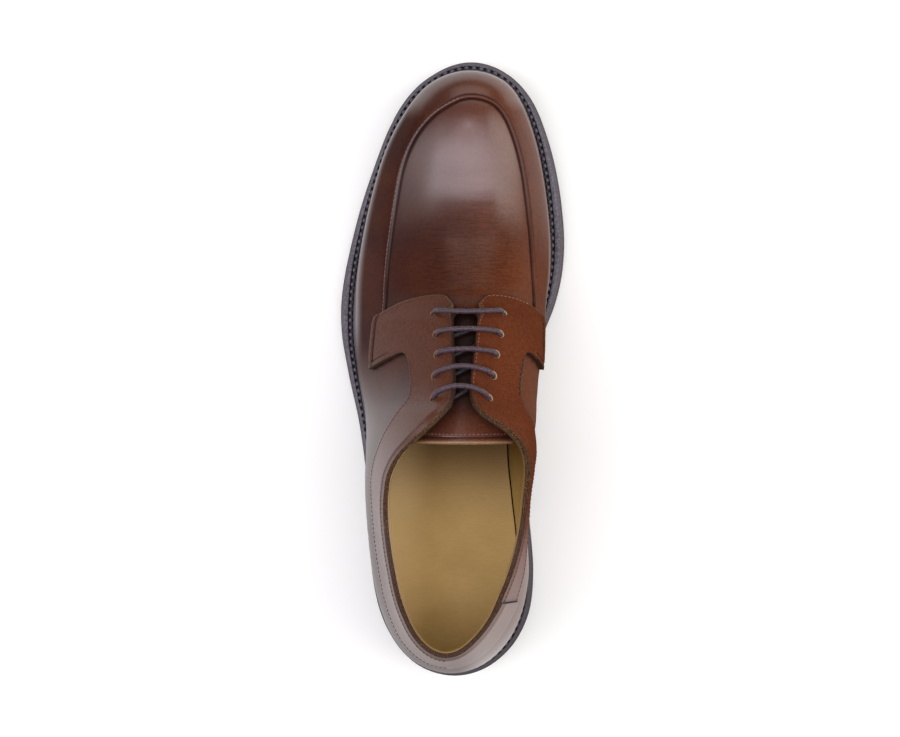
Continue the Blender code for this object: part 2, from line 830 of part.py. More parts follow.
def make_tongue():
    names = ("height", "half_width", "droop", "centre")
    rows = sorted(TONGUE_FLAP, key=lambda flap: flap.station)
    shape = {name: column(rows, name) for name in names}
    over, under = [], []
    steps = 14
    start, end = rows[0].station, rows[-1].station
    for step in range(steps + 1):
        station = start + (end - start) * step / steps
        top_row, low_row = [], []
        for across in range(11):
            share = across / 5 - 1.0
            x = shape["centre"](station) + share * shape["half_width"](station)
            z = shape["height"](station) - shape["droop"](station) * share * share
            top_row.append(Vector((x, station, z)))
            low_row.append(Vector((x, station, z - TONGUE_THICKNESS * 1.15)))
        over.append(top_row)
        under.append(low_row)
    net = Net()
    net.sheet(over)
    net.sheet(under, flip=True)
    net.sheet([over[0], under[0]])
    net.sheet([over[-1], under[-1]])
    net.sheet([[row[0] for row in over], [row[0] for row in under]])
    net.sheet([[row[-1] for row in over], [row[-1] for row in under]])
    net.build("tongue", (0.12, 0.045, 0.026), 0.45)


def make_lace():
    """Five bars, each from eyelet to eyelet over the facings and across the throat."""
    lift = FACING_GAP + FACING_THICKNESS + GAP + LACE_RADIUS + 0.2
    for number, bar in enumerate(LACE_BARS, start=1):
        turn = FEATHER.turn(bar.station)
        left = raised(-turn, share_at_clear(-turn, bar.lateral), lift)
        right = raised(turn, share_at_clear(turn, bar.medial), lift)
        middle = bar.station + bar.forward
        crest = (upper_edge(LATERAL, middle).z + upper_edge(MEDIAL, middle).z) / 2 + bar.arch
        rise = Vector((0.0, bar.forward, crest - (left.z + right.z) / 2))
        path = []
        for step in range(13):
            share = step / 12
            path.append(left.lerp(right, share) + rise * (4 * share * (1 - share)))
        curve = bpy.data.curves.new("lace_bar_" + str(number), "CURVE")
        curve.dimensions = "3D"
        curve.bevel_depth = LACE_RADIUS * MM
        curve.bevel_resolution = 2
        curve.use_fill_caps = True
        line = curve.splines.new("POLY")
        line.points.add(len(path) - 1)
        for point, spot in zip(line.points, path):
            point.co = (spot.x * MM, (spot.y - SOLE_LENGTH / 2) * MM, spot.z * MM, 1.0)
        piece = bpy.data.objects.new("lace_bar_" + str(number), curve)
        dress(piece, (0.05, 0.02, 0.025), 0.5)


for old in list(bpy.data.objects):
    bpy.data.objects.remove(old)
SHOE = bpy.data.collections.new("derby_shoe")
TOOLS = bpy.data.collections.new("cutters")
for group in (SHOE, TOOLS):
    bpy.context.scene.collection.children.link(group)

make_outsole()
make_heel()
make_midsole()
make_welt()
make_insole()
make_upper()
make_facing(LATERAL, "facing_lateral")
make_facing(MEDIAL, "facing_medial")
make_tongue()
make_lace()
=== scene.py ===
# %% [markdown]
# # A left derby shoe in brown leather
#
# This lesson dresses a shoe that already exists as plain solids. The solids are the fixed frame: they say
# where every piece lies and how large it is. Here each solid gets a finer mesh of the same form, and a
# material that shows what it is made of: polished leather, tan lining, waxed cord and grey-black rubber. We
# load the frame first.

# %% Load the frame
import math
from collections import namedtuple

import bmesh
import bpy
import numpy as np
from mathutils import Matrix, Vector
from mathutils.bvhtree import BVHTree
from mathutils.kdtree import KDTree


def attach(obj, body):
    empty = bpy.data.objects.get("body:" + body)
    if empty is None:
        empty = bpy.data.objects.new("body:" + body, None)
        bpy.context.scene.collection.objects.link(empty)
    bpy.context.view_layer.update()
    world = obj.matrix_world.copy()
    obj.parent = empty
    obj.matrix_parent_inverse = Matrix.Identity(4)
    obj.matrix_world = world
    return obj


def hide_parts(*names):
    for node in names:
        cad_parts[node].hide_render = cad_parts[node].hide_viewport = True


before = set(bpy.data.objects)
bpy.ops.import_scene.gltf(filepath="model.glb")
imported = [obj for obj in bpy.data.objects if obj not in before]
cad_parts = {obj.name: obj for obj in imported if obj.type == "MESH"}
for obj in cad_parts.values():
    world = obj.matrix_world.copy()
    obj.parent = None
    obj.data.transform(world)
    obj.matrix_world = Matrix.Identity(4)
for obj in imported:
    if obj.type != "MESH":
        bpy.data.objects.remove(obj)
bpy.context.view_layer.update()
print("solids:", ", ".join(sorted(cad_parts)))

# %% [markdown]
# ## Camera, floor and light
#
# The shoe is seen from straight above with its toe up, by a camera one and a half metres over the floor and
# a little to its medial side. A long lens from that height keeps the sides nearly upright. We place the
# camera by its numbers and turn it a few degrees, which puts the shoe in the middle.

# %% Camera
CAMERA_PLACE = Vector((0.0792, 0.0014, 1.5))
CAMERA_AIM = Vector((0.0, 0.0, 0.05))
PHOTO_ANGLE = math.radians(18.85)
CLOSER = 1.10

camera_data = bpy.data.cameras.new("camera")
camera_data.sensor_fit = "HORIZONTAL"
camera_data.angle = 2 * math.atan(math.tan(PHOTO_ANGLE / 2) / CLOSER)
camera_data.clip_start = 0.05
camera = bpy.data.objects.new("camera", camera_data)
bpy.context.scene.collection.objects.link(camera)
camera.location = CAMERA_PLACE
sight = CAMERA_AIM - CAMERA_PLACE
camera.rotation_euler = (math.atan2(sight.y, -sight.z), math.atan2(-sight.x, -sight.z), 0.0)
bpy.context.scene.camera = camera
print("lens:", round(camera_data.lens, 1), "mm")

# %% [markdown]
# Polished leather shows its form mostly by what it mirrors. A studio uses soft boxes, and so do we: area
# lights, because a point lamp would leave only a small hard spot. The strongest hangs overhead, two weaker
# ones stand at the sides and one stands in front of the toe. The floor is one large plain sheet.

# %% Floor and light
Panel = namedtuple("Panel", "name place tilt size power tint")
PANELS = [
    Panel("panel_over", (-0.165, -0.1, 1.75), (0, 0), (2.87, 1.1), 34.5, (1.0, 0.915, 1.0)),
    Panel("panel_medial", (1.35, 0.0, 0.85), (0, 58), (1.3, 1.4), 13.0, (1.0, 0.95, 0.9)),
    Panel("panel_lateral", (-1.4, -0.3, 0.9), (0, -55), (1.2, 1.8), 10.0, (1.0, 0.95, 0.98)),
    Panel("panel_toe", (0.1, 1.5, 1.0), (-55, 0), (2.0, 1.0), 6.0, (1.0, 0.98, 0.97)),
]


def hang_panel(panel):
    """A soft rectangular light that looks down, tilted by two angles in degrees about x and y."""
    light = bpy.data.lights.new(panel.name, "AREA")
    light.shape = "RECTANGLE"
    light.size, light.size_y = panel.size
    light.energy = panel.power
    light.color = panel.tint
    lamp = bpy.data.objects.new(panel.name, light)
    lamp.location = panel.place
    lamp.rotation_euler = (math.radians(panel.tilt[0]), math.radians(panel.tilt[1]), 0.0)
    bpy.context.scene.collection.objects.link(lamp)


for panel in PANELS:
    hang_panel(panel)

world = bpy.data.worlds.new("room")
world.use_nodes = True
world.node_tree.nodes["Background"].inputs["Color"].default_value = (0.95, 0.97, 1.0, 1.0)
world.node_tree.nodes["Background"].inputs["Strength"].default_value = 0.03
bpy.context.scene.world = world
bpy.context.scene.view_settings.view_transform = "Standard"

floor_mesh = bpy.data.meshes.new("floor")
shape = bmesh.new()
bmesh.ops.create_grid(shape, x_segments=2, y_segments=2, size=4.0)
shape.to_mesh(floor_mesh)
shape.free()
floor = bpy.data.objects.new("floor", floor_mesh)
bpy.context.scene.collection.objects.link(floor)
print("panels:", len(PANELS))

# %% [markdown]
# ## The shoe in numbers
#
# A last maker describes a shoe by plans and profiles: the outline of the sole, the feather line where the
# upper meets the welt, the height of the vamp, the line of the collar. The solids were made from the short
# tables below, in millimetres. A station is the distance from the back of the sole, and x runs from the
# lateral side (negative) to the medial side (positive). We repeat the tables, because a finer mesh of the
# same form needs the same curves.

# %% Sizes
MM = 0.001
SOLE_LENGTH = 303.0
GAP = 0.3
LATERAL = -1.0
MEDIAL = 1.0
UPPER_WALL = 2.2
FACING_TOP = 1.9
LACE_RADIUS = 1.3
WELT_THICKNESS = 4.0
MIDSOLE_THICKNESS = 2.7
OUTSOLE_THICKNESS = 6.2
INSOLE_RISE = 0.8
LUG_DEPTH = 3.4
WELT_SETBACK = 1.8
MIDSOLE_SETBACK = 0.8

Plan = namedtuple("Plan", "station lateral medial")
SOLE_PLAN = [
    Plan(0, 1.2, 1.2), Plan(7, -19.5, 21.5), Plan(16, -28.0, 30.5), Plan(32, -36.0, 38.0),
    Plan(50, -39.8, 39.8), Plan(75, -41.5, 38.0), Plan(100, -43.3, 35.0), Plan(125, -47.0, 34.8),
    Plan(150, -52.9, 38.3), Plan(170, -56.5, 45.0), Plan(182, -56.9, 49.7), Plan(195, -55.6, 53.1),
    Plan(211, -52.4, 54.8), Plan(231, -47.2, 53.8), Plan(251, -40.4, 50.7), Plan(271, -32.3, 45.1),
    Plan(282, -26.0, 40.5), Plan(292, -17.1, 33.3), Plan(298, -8.2, 25.8), Plan(303, 9.0, 9.0),
]
FEATHER_PLAN = [
    Plan(6.0, 1.0, 1.0), Plan(14, -19.5, 21.0), Plan(24, -26.5, 28.3), Plan(36, -31.0, 32.3),
    Plan(50, -34.0, 34.3), Plan(70, -36.0, 33.8), Plan(90, -37.5, 31.5), Plan(110, -39.0, 29.6),
    Plan(130, -41.6, 30.0), Plan(150, -45.2, 33.0), Plan(165, -47.3, 36.7), Plan(180, -47.7, 41.3),
    Plan(195, -46.6, 44.4), Plan(210, -44.2, 45.6), Plan(225, -41.1, 45.2), Plan(240, -37.3, 43.7),
    Plan(255, -32.8, 41.3), Plan(268, -27.2, 38.1), Plan(280, -20.0, 33.8), Plan(289, -12.0, 28.2),
    Plan(296.5, 8.8, 8.8),
]
SEAM_PLAN = [
    Plan(110, 5.0, 5.0), Plan(130, -28.0, 38.0), Plan(160, -31.3, 41.6), Plan(180, -31.4, 41.5),
    Plan(192, -31.2, 41.1), Plan(204, -30.5, 40.4), Plan(217, -29.1, 39.4), Plan(234, -26.7, 37.6),
    Plan(249, -23.7, 35.4), Plan(258, -20.3, 33.3), Plan(267, -15.0, 30.4), Plan(274, -8.7, 27.2),
    Plan(280, 0.2, 22.0), Plan(283.3, 10.8, 10.8),
]
Edge = namedtuple("Edge", "station centre opening height")
UPPER_EDGE = [
    Edge(16.5, 0.8, 0.0, 101.5), Edge(23, 1.0, 12.5, 101.3), Edge(33, 1.8, 19.8, 98.0),
    Edge(44, 2.2, 24.5, 94.8), Edge(55, 3.1, 28.0, 92.6), Edge(66, 3.7, 30.6, 91.3),
    Edge(78, 4.3, 32.5, 91.3), Edge(92, 5.3, 33.2, 95.5), Edge(104, 7.3, 32.2, 102.8),
    Edge(112, 9.4, 29.2, 109.6), Edge(119, 11.2, 23.8, 116.6), Edge(125, 11.3, 17.0, 121.0),
    Edge(130, 9.6, 10.5, 121.6), Edge(135, 9.2, 5.6, 118.8), Edge(142, 9.1, 3.9, 114.0),
    Edge(152, 9.2, 4.3, 108.0), Edge(164, 9.4, 5.3, 100.8), Edge(174, 9.5, 6.1, 93.2),
]
THROAT_ROUND = 175.5
THROAT_FRONT = 180.6
Ridge = namedtuple("Ridge", "station height")
VAMP_SPINE = [
    Ridge(174, 93.2), Ridge(181, 85.6), Ridge(186, 79.6), Ridge(192, 74.6), Ridge(200, 70.6),
    Ridge(210, 66.2), Ridge(220, 62.8), Ridge(232, 60.4), Ridge(246, 59.6), Ridge(260, 59.4),
    Ridge(268, 59.0),
]
FEATHER_HEIGHT = [
    Ridge(0, 39.2), Ridge(6, 38.6), Ridge(20, 36.8), Ridge(50, 34.6), Ridge(80, 32.4),
    Ridge(100, 30.4), Ridge(120, 28.0), Ridge(140, 24.2), Ridge(155, 20.6), Ridge(170, 18.2),
    Ridge(185, 16.9), Ridge(200, 16.5), Ridge(220, 16.9), Ridge(240, 18.6), Ridge(260, 21.3),
    Ridge(275, 24.4), Ridge(288, 28.2), Ridge(303, 33.0),
]
Wall = namedtuple("Wall", "station bulge rise shoulder drop")
LATERAL_WALL = [
    Wall(6, 7.0, 22.0, 6.0, 16.5), Wall(50, 10.5, 18.0, 5.5, 20.0), Wall(90, 10.0, 18.0, 8.0, 22.0),
    Wall(110, 7.5, 25.0, 12.0, 20.0), Wall(131, 5.5, 34.0, 20.0, 14.0), Wall(150, 9.3, 29.0, 13.0, 6.0),
    Wall(175, 8.0, 25.0, 17.0, 5.0), Wall(186, 9.0, 23.0, 21.0, 1.0), Wall(200, 10.0, 21.5, 23.0, 0.0),
    Wall(240, 10.5, 17.5, 26.0, 0.0), Wall(268, 8.0, 17.0, 24.0, 0.0), Wall(296.5, 5.0, 15.5, 21.5, 0.0),
]
MEDIAL_WALL = [
    Wall(6, 7.0, 22.0, 6.0, 16.5), Wall(50, 9.3, 17.0, 5.0, 20.0), Wall(70, 7.5, 17.0, 1.2, 19.0),
    Wall(90, 9.0, 19.0, -0.5, 18.0), Wall(110, 14.5, 26.0, 3.0, 20.0), Wall(120, 17.5, 29.0, 9.0, 16.8),
    Wall(131, 22.0, 32.0, 24.5, 13.0), Wall(150, 21.5, 30.0, 28.0, 9.0), Wall(175, 16.0, 26.0, 25.0, 6.0),
    Wall(186, 13.0, 24.0, 26.0, 1.0), Wall(200, 11.5, 22.0, 27.0, 0.0), Wall(240, 9.0, 18.0, 25.0, 0.0),
    Wall(268, 7.0, 17.0, 23.0, 0.0), Wall(296.5, 5.0, 15.5, 21.5, 0.0),
]
print("tables for a sole of", SOLE_LENGTH, "mm")

# %% [markdown]
# ## Smooth curves through the tables
#
# A spline turns a short table into a smooth curve. We write it with NumPy, so that one call works out a
# whole grid of points; a fine mesh of the upper then takes well under a second.

# %% Splines
class Spline:
    """A smooth curve through knots, with three-point slopes; closed curves share the slope at their ends."""

    def __init__(self, knots, values, closed=False):
        self.knots = np.array(knots, float)
        self.values = np.array(values, float)
        widths = np.diff(self.knots)
        chords = np.diff(self.values) / widths
        inner = (chords[:-1] * widths[1:] + chords[1:] * widths[:-1]) / (widths[:-1] + widths[1:])
        self.slopes = np.concatenate([chords[:1], inner, chords[-1:]])
        if closed:
            self.slopes[[0, -1]] = (chords[0] + chords[-1]) / 2

    def __call__(self, at):
        at = np.clip(at, self.knots[0], self.knots[-1])
        low = np.clip(np.searchsorted(self.knots, at, side="right") - 1, 0, len(self.knots) - 2)
        width = self.knots[low + 1] - self.knots[low]
        share = (at - self.knots[low]) / width
        rest = 1.0 - share
        start = self.values[low] * (1 + 2 * share) + self.slopes[low] * width * share
        end = self.values[low + 1] * (1 + 2 * rest) - self.slopes[low + 1] * width * rest
        return start * rest**2 + end * share**2


def column(rows, name, warp=lambda station: station):
    """Smooth curve of one column of a table over its stations."""
    return Spline([warp(row.station) for row in rows], [getattr(row, name) for row in rows])


def smooth_step(value, start, end):
    share = np.clip((value - start) / (end - start), 0.0, 1.0)
    return share**2 * (3 - 2 * share)


def wrap(turn):
    """The same turn between minus pi and pi."""
    return (turn + math.pi) % (2 * math.pi) - math.pi


print("a smooth step at a quarter of its way:", smooth_step(0.25, 0.0, 1.0))

# %% [markdown]
# An outline is a closed plan: its turn is 0 at the heel, grows to pi at the toe along the medial side, and
# is negative along the lateral side. Points then crowd at the heel and the toe, where the plan is round;
# equal steps along the shoe would leave both ends angular.

# %% Outlines
class Outline:
    """A closed plan curve."""

    def __init__(self, rows):
        self.start = rows[0].station
        self.end = rows[-1].station
        turns = [self.turn(row.station) for row in rows]
        knots = [-turn for turn in reversed(turns)] + turns[1:]
        values = [row.lateral for row in reversed(rows)] + [row.medial for row in rows[1:]]
        self.across = Spline(knots, values, closed=True)

    def turn(self, station):
        return np.arccos(np.clip(1 - 2 * (station - self.start) / (self.end - self.start), -1.0, 1.0))

    def station(self, turn):
        return self.start + (self.end - self.start) * (1 - np.cos(turn)) / 2

    def x(self, side, station):
        return self.across(side * self.turn(station))

    def point(self, turn, inset=0.0):
        turn = np.asarray(turn, float)
        spot = np.stack([self.across(turn), self.station(turn)], axis=-1)
        if inset:
            step = 0.01
            run = np.stack([self.across(wrap(turn + step)) - self.across(wrap(turn - step)),
                            self.station(turn + step) - self.station(turn - step)], axis=-1)
            run /= np.linalg.norm(run, axis=-1, keepdims=True)
            spot = spot - np.stack([run[..., 1], -run[..., 0]], axis=-1) * inset
        return spot


SOLE = Outline(SOLE_PLAN)
FEATHER = Outline(FEATHER_PLAN)
SEAM = Outline(SEAM_PLAN)
feather_height = column(FEATHER_HEIGHT, "height")
print("sole", SOLE.x(MEDIAL, 211.0) - SOLE.x(LATERAL, 182.0), "mm across the ball")

# %% [markdown]
# ## The wall of the upper
#
# Seen in section, each side of the upper is one smooth curve from the feather line to its upper edge: the
# collar behind, the throat in the middle and the spine of the vamp in front. First comes that edge. At heel
# and toe its stations fan out from a hub, because the wall turns there.

# %% Upper edge
COLLAR_BACK = UPPER_EDGE[0].station
HEEL_FAN = 45.0
TOE_FAN = 230.0
EDGE_END = UPPER_EDGE[-1].station
SPINE_END = VAMP_SPINE[-1].station
THROAT_EASE = (172.0, 186.0)


def from_back(station):
    """Root of the distance from the back of the collar, in which its round end is straight."""
    return np.sqrt(np.maximum(0.0, station - COLLAR_BACK))


edge_centre = column(UPPER_EDGE, "centre")
edge_opening = column(UPPER_EDGE, "opening", from_back)
edge_height = column(UPPER_EDGE, "height")
vamp_height = column(VAMP_SPINE, "height")
PULLS = ("bulge", "rise", "shoulder", "drop")
lateral_pull = {name: column(LATERAL_WALL, name) for name in PULLS}
medial_pull = {name: column(MEDIAL_WALL, name) for name in PULLS}


def top_station(station):
    """Station of the upper edge that belongs to a station of the feather line."""
    heel = np.clip((HEEL_FAN - station) / (HEEL_FAN - FEATHER.start), 0.0, 1.0)
    toe = np.clip((station - TOE_FAN) / (FEATHER.end - TOE_FAN), 0.0, 1.0)
    rest = 1.0 - toe
    lead = (FEATHER.end - TOE_FAN) / (SPINE_END - TOE_FAN)
    eased = lead * toe * rest**2 + toe**2 * (3 - 2 * toe) - 0.6 * toe**2 * rest
    fanned = TOE_FAN + (SPINE_END - TOE_FAN) * eased
    return np.where(station > TOE_FAN, fanned, station + (COLLAR_BACK - FEATHER.start) * heel**2)


def opening(station):
    """Half the gap between the two sides of the upper edge, closed in a round end at the throat."""
    share = np.clip((station - THROAT_ROUND) / (THROAT_FRONT - THROAT_ROUND), 0.0, 1.0)
    return edge_opening(from_back(station)) * np.sqrt(1.0 - share**2)


def eased_opening(station):
    """The same gap closed slowly, so that the round end of the throat leaves no crease in the wall."""
    return edge_opening(from_back(station)) * (1 - smooth_step(station, *THROAT_EASE))


def upper_edge(side, station, gap=opening):
    """Points of the collar, throat or vamp spine."""
    height = np.where(station < EDGE_END, edge_height(station), vamp_height(station))
    return np.stack([edge_centre(station) + side * gap(station), station + 0.0 * side, height], axis=-1)


print("throat ends", THROAT_FRONT, "mm from the back")

# %% [markdown]
# A cubic Bezier curve makes the section with two pulls, one that swells the wall above the feather line and
# one that rounds its shoulder. Many sections stored as points would do too, but a few pulls in a table are
# easier to change. Every leather piece will lie on this wall.

# %% Wall function
def wall(turn, share):
    """Points of the upper's outer face: share runs from the feather line (0) to the upper edge (1)."""
    turn, share = np.broadcast_arrays(wrap(np.asarray(turn, float)), np.asarray(share, float))
    side = np.where(turn < 0, LATERAL, MEDIAL)
    foot = FEATHER.point(turn)
    station = foot[..., 1]
    edge = upper_edge(side, top_station(station))
    top = upper_edge(side, top_station(station), eased_opening)
    toe = station > TOE_FAN
    heel = station < HEEL_FAN
    hub_x = np.where(heel, edge_centre(HEEL_FAN), np.where(toe, top[..., 0], foot[..., 0] - side))
    hub_y = np.where(heel, HEEL_FAN, np.where(toe, top[..., 1], station))
    out = foot - np.stack([hub_x, hub_y], axis=-1)
    out = out / np.linalg.norm(out, axis=-1, keepdims=True)
    pull = {}
    for name in PULLS:
        pull[name] = np.where(side < 0, lateral_pull[name](station), medial_pull[name](station))
    base = feather_height(station) + GAP
    low = np.concatenate([foot, base[..., None]], axis=-1)
    swollen = foot + out * pull["bulge"][..., None]
    pull_low = np.concatenate([swollen, (base + pull["rise"])[..., None]], axis=-1)
    high = top[..., :2] + out * pull["shoulder"][..., None]
    pull_high = np.concatenate([high, (top[..., 2] - pull["drop"])[..., None]], axis=-1)
    share = share[..., None]
    rest = 1.0 - share
    lower = low * rest**3 + pull_low * (3 * rest**2 * share)
    return lower + pull_high * (3 * rest * share**2) + top * share**3 + (edge - top) * share**12


print("wall pulls:", ", ".join(PULLS))

# %% [markdown]
# Stitches, bands and holes lie on the wall at heights that a maker measures, not at shares of a curve. We
# could solve for those places by algebra, but halving an interval again and again is short, works for any
# test and is exact enough after 26 steps. Directions come from small steps along the wall.

# %% Directions and places on the wall
def unit(vectors):
    return vectors / np.maximum(np.linalg.norm(vectors, axis=-1, keepdims=True), 1e-9)


def wall_normal(turn, share):
    """Outward directions of the upper's outer face."""
    share = np.clip(share, 0.02, 0.98)
    along = wall(turn + 0.01, share) - wall(turn - 0.01, share)
    up = wall(turn, share + 0.01) - wall(turn, share - 0.01)
    return unit(np.cross(along, up))


def search(turn, below):
    """Share at which a test on the wall's points turns from true to false, going up from the feather line."""
    low = np.zeros(np.shape(turn))
    high = np.ones(np.shape(turn))
    for _ in range(26):
        middle = (low + high) / 2
        is_below = below(wall(turn, middle))
        low = np.where(is_below, middle, low)
        high = np.where(is_below, high, middle)
    return (low + high) / 2


def share_at_height(turn, height):
    return search(turn, lambda spot: spot[..., 2] < height)


def share_at_clear(turn, clear):
    return search(turn, lambda spot: np.abs(spot[..., 0] - edge_centre(spot[..., 1])) > clear)


def share_at_seam(turn):
    """Share at which the wall crosses the apron seam's plan."""
    def outside(spot):
        station = np.minimum(spot[..., 1], SEAM.end)
        inside = (SEAM.x(LATERAL, station) < spot[..., 0]) & (spot[..., 0] < SEAM.x(MEDIAL, station))
        return (spot[..., 1] >= SEAM.end) | ~inside
    return search(turn, outside)


print("collar stands", round(float(wall(0.0, 1.0)[2]), 1), "mm high at the heel")

# %% [markdown]
# ## From points to pieces
#
# A leather piece is a sheet with a thickness. Given points on a sheet, their outward directions and the
# faces between them, we can stack a second sheet below and close the border with a rim. The rim's faces
# carry a mark named edge, so that a material can show the raw cut there, and a small bevel rounds the cut.

# %% Mesh helpers
def to_metres(spots):
    """Millimetres by station to metres in the shoe's frame."""
    return (np.asarray(spots, float) - (0.0, SOLE_LENGTH / 2, 0.0)) * MM


def grid_faces(rows, columns, start=0):
    """Four-sided faces of a grid of points that are stored row by row."""
    index = start + np.arange(rows * columns).reshape(rows, columns)
    corners = (index[:-1, :-1], index[1:, :-1], index[1:, 1:], index[:-1, 1:])
    return np.stack(corners, axis=-1).reshape(-1, 4)


def merge(spots, faces):
    """The same sheet with points that coincide made one, and faces without length left out."""
    _, first, number = np.unique(np.round(spots, 3), axis=0, return_index=True, return_inverse=True)
    faces = number.reshape(-1)[faces]
    rings = []
    for face in faces.tolist():
        ring = list(dict.fromkeys(face))
        if len(ring) > 2:
            rings.append(ring)
    return first, rings


def add_piece(name, spots, faces, face_marks=None, point_marks=None):
    """A smooth mesh object from points in millimetres; marks are numbers kept on its faces or points."""
    mesh = bpy.data.meshes.new(name)
    mesh.from_pydata(to_metres(spots).tolist(), [], [list(face) for face in faces])
    for domain, marks in (("FACE", face_marks), ("POINT", point_marks)):
        for mark, values in (marks or {}).items():
            layer = mesh.attributes.new(mark, "FLOAT", domain)
            layer.data.foreach_set("value", np.asarray(values, np.float32))
    mesh.shade_smooth()
    piece = bpy.data.objects.new(name, mesh)
    bpy.context.scene.collection.objects.link(piece)
    return piece


print("faces in a grid of 3 by 3 points:", len(grid_faces(3, 3)))

# %% [markdown]
# Leather has no sharp edges: a cut is rounded by the knife and by wear, and a rounded edge is what catches
# the light. We bevel sharp edges with bmesh. A thick sheet is built from two copies of its points, not with
# a Solidify modifier, because we want marks on its faces and a thickness that changes from point to point.

# %% Rounded sheets
def round_edges(piece, width, angle=50.0, segments=2):
    """Bevel the sharp edges of a piece by a width in millimetres."""
    shape = bmesh.new()
    shape.from_mesh(piece.data)
    bmesh.ops.recalc_face_normals(shape, faces=shape.faces)
    limit = math.radians(angle)
    sharp = [edge for edge in shape.edges if edge.is_manifold and edge.calc_face_angle() > limit]
    if width:
        bmesh.ops.bevel(shape, geom=sharp, offset=width * MM, segments=segments, profile=0.5, affect="EDGES",
                        clamp_overlap=True)
    for face in shape.faces:
        face.smooth = True
    shape.to_mesh(piece.data)
    shape.free()
    return piece


def border_distance(spots, border, limit=6.0):
    """Distance in millimetres of each point from the nearest point of a sheet's border."""
    tree = KDTree(len(border))
    for number in border:
        tree.insert(spots[number], number)
    tree.balance()
    return np.array([min(limit, tree.find(spot)[2]) for spot in spots.tolist()])


def thick_sheet(name, spots, normals, faces, low, high, bevel, marks=None):
    """A closed piece between two heights over a sheet, with rounded rims.

    Its rim faces are marked as edge, and its points know how far the border is. Other marks come by point.
    """
    spots = spots.reshape(-1, 3)
    normals = normals.reshape(-1, 3)
    keep, rings = merge(spots, faces)
    low = np.broadcast_to(low, len(spots))[keep, None]
    high = np.broadcast_to(high, len(spots))[keep, None]
    spots = spots[keep]
    normals = normals[keep]
    count = len(spots)
    sides = [(ring[i], ring[(i + 1) % len(ring)]) for ring in rings for i in range(len(ring))]
    known = set(sides)
    border = [(a, b) for a, b in sides if (b, a) not in known]
    rim = [(b, a, a + count, b + count) for a, b in border]
    under = [[corner + count for corner in reversed(ring)] for ring in rings]
    away = border_distance(spots, sorted({a for a, _ in border}))
    face_marks = {"edge": np.concatenate([np.zeros(2 * len(rings)), np.ones(len(rim))])}
    point_marks = {mark: np.tile(values.reshape(-1)[keep], 2) for mark, values in (marks or {}).items()}
    point_marks["border"] = np.tile(away, 2)
    points = np.concatenate([spots + normals * high, spots + normals * low])
    piece = add_piece(name, points, rings + under + rim, face_marks, point_marks)
    return round_edges(piece, bevel)


def settle(piece, slot, *nodes):
    """Let a piece ride with the shoe and let it stand for its solids; slot, the name of its finish, is not
    used.
    """
    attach(piece, "root")
    if nodes:
        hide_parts(*nodes)
    piece.data.calc_loop_triangles()
    print(piece.name, len(piece.data.loop_triangles), "triangles")


print("edges sharper than", round_edges.__defaults__[0], "degrees get a bevel")

# %% [markdown]
# ## The leather upper
#
# The upper of this shoe is a mudguard that runs round the foot and an apron on top of it. Where they meet,
# both edges are pinched up and sewn, which leaves a round ridge between two fine grooves. A grid that
# follows the seam draws that ridge crisply with few points: some of its rows lie at fixed distances from
# the seam line. The vamp has a few soft creases where the foot bends, and the whole skin is never quite
# even, so we add slight waves; without them the reflections look like those of plastic.

# %% Surface of the leather
RIDGE_HEIGHT = 1.05
RIDGE_HALF = 1.05
GROOVE_AT = 1.25
GROOVE_DEPTH = 0.5
GROOVE_WIDTH = 0.3
RIDGE_FADE = (171.0, 177.0)
Crease = namedtuple("Crease", "station x half width depth bow")
CREASES = [
    Crease(203, 10, 20, 1.6, 0.10, 2.0),
    Crease(209, 15, 17, 1.2, 0.09, 1.5),
    Crease(214, 8, 21, 1.4, 0.11, 2.2),
    Crease(218.5, 17, 15, 1.0, 0.10, 1.0),
    Crease(223, 14, 17, 1.1, 0.09, 1.4),
    Crease(227.5, 18, 13, 0.9, 0.08, 0.8),
    Crease(232, 15, 14, 1.0, 0.05, 1.0),
]


def seam_profile(distance):
    """Height of the pinched seam across its line: a round ridge between two grooves."""
    share = np.clip(np.abs(distance) / RIDGE_HALF, 0.0, 1.0)
    grooves = np.exp(-(((np.abs(distance) - GROOVE_AT) / GROOVE_WIDTH) ** 2))
    return RIDGE_HEIGHT * (1 - share**2) ** 0.75 - GROOVE_DEPTH * grooves


def creases(spots):
    """Soft troughs with low ridges beside them, each across the vamp at one station."""
    height = np.zeros(spots.shape[:-1])
    for crease in CREASES:
        across = np.clip((spots[..., 0] - crease.x) / crease.half, -1.0, 1.0)
        away = spots[..., 1] - crease.station - crease.bow * across**2
        trough = np.exp(-((away / crease.width) ** 2))
        ridges = np.exp(-(((np.abs(away) - 2.2 * crease.width) / crease.width) ** 2))
        height -= crease.depth * (trough - 0.5 * ridges) * (1 - across**2) ** 2
    return height


def waves(spots):
    """Slight unevenness that every leather layer follows."""
    x, y, z = spots[..., 0], spots[..., 1], spots[..., 2]
    broad = np.sin(x / 13 + y / 19 + 0.7) * np.sin(y / 23 - z / 15)
    fine = np.sin(x / 6.1 - y / 8.3 + z / 7.7) * np.sin(y / 6.9 + z / 9.5 + 1.3)
    return 0.09 * broad + 0.03 * fine


def skin(turn, share, height):
    """Points above the waved wall, with their outward directions."""
    spots = wall(turn, share)
    normals = wall_normal(turn, share)
    lift = np.asarray(height + waves(spots))[..., None]
    return spots + normals * lift, normals


print("creases:", len(CREASES))

# %% [markdown]
# The skin of the upper is leather about 1.3 mm thick. Its grid could be even, but rows that crowd beside
# the seam spend the points where the form changes. In front of the throat both sides meet on one line.

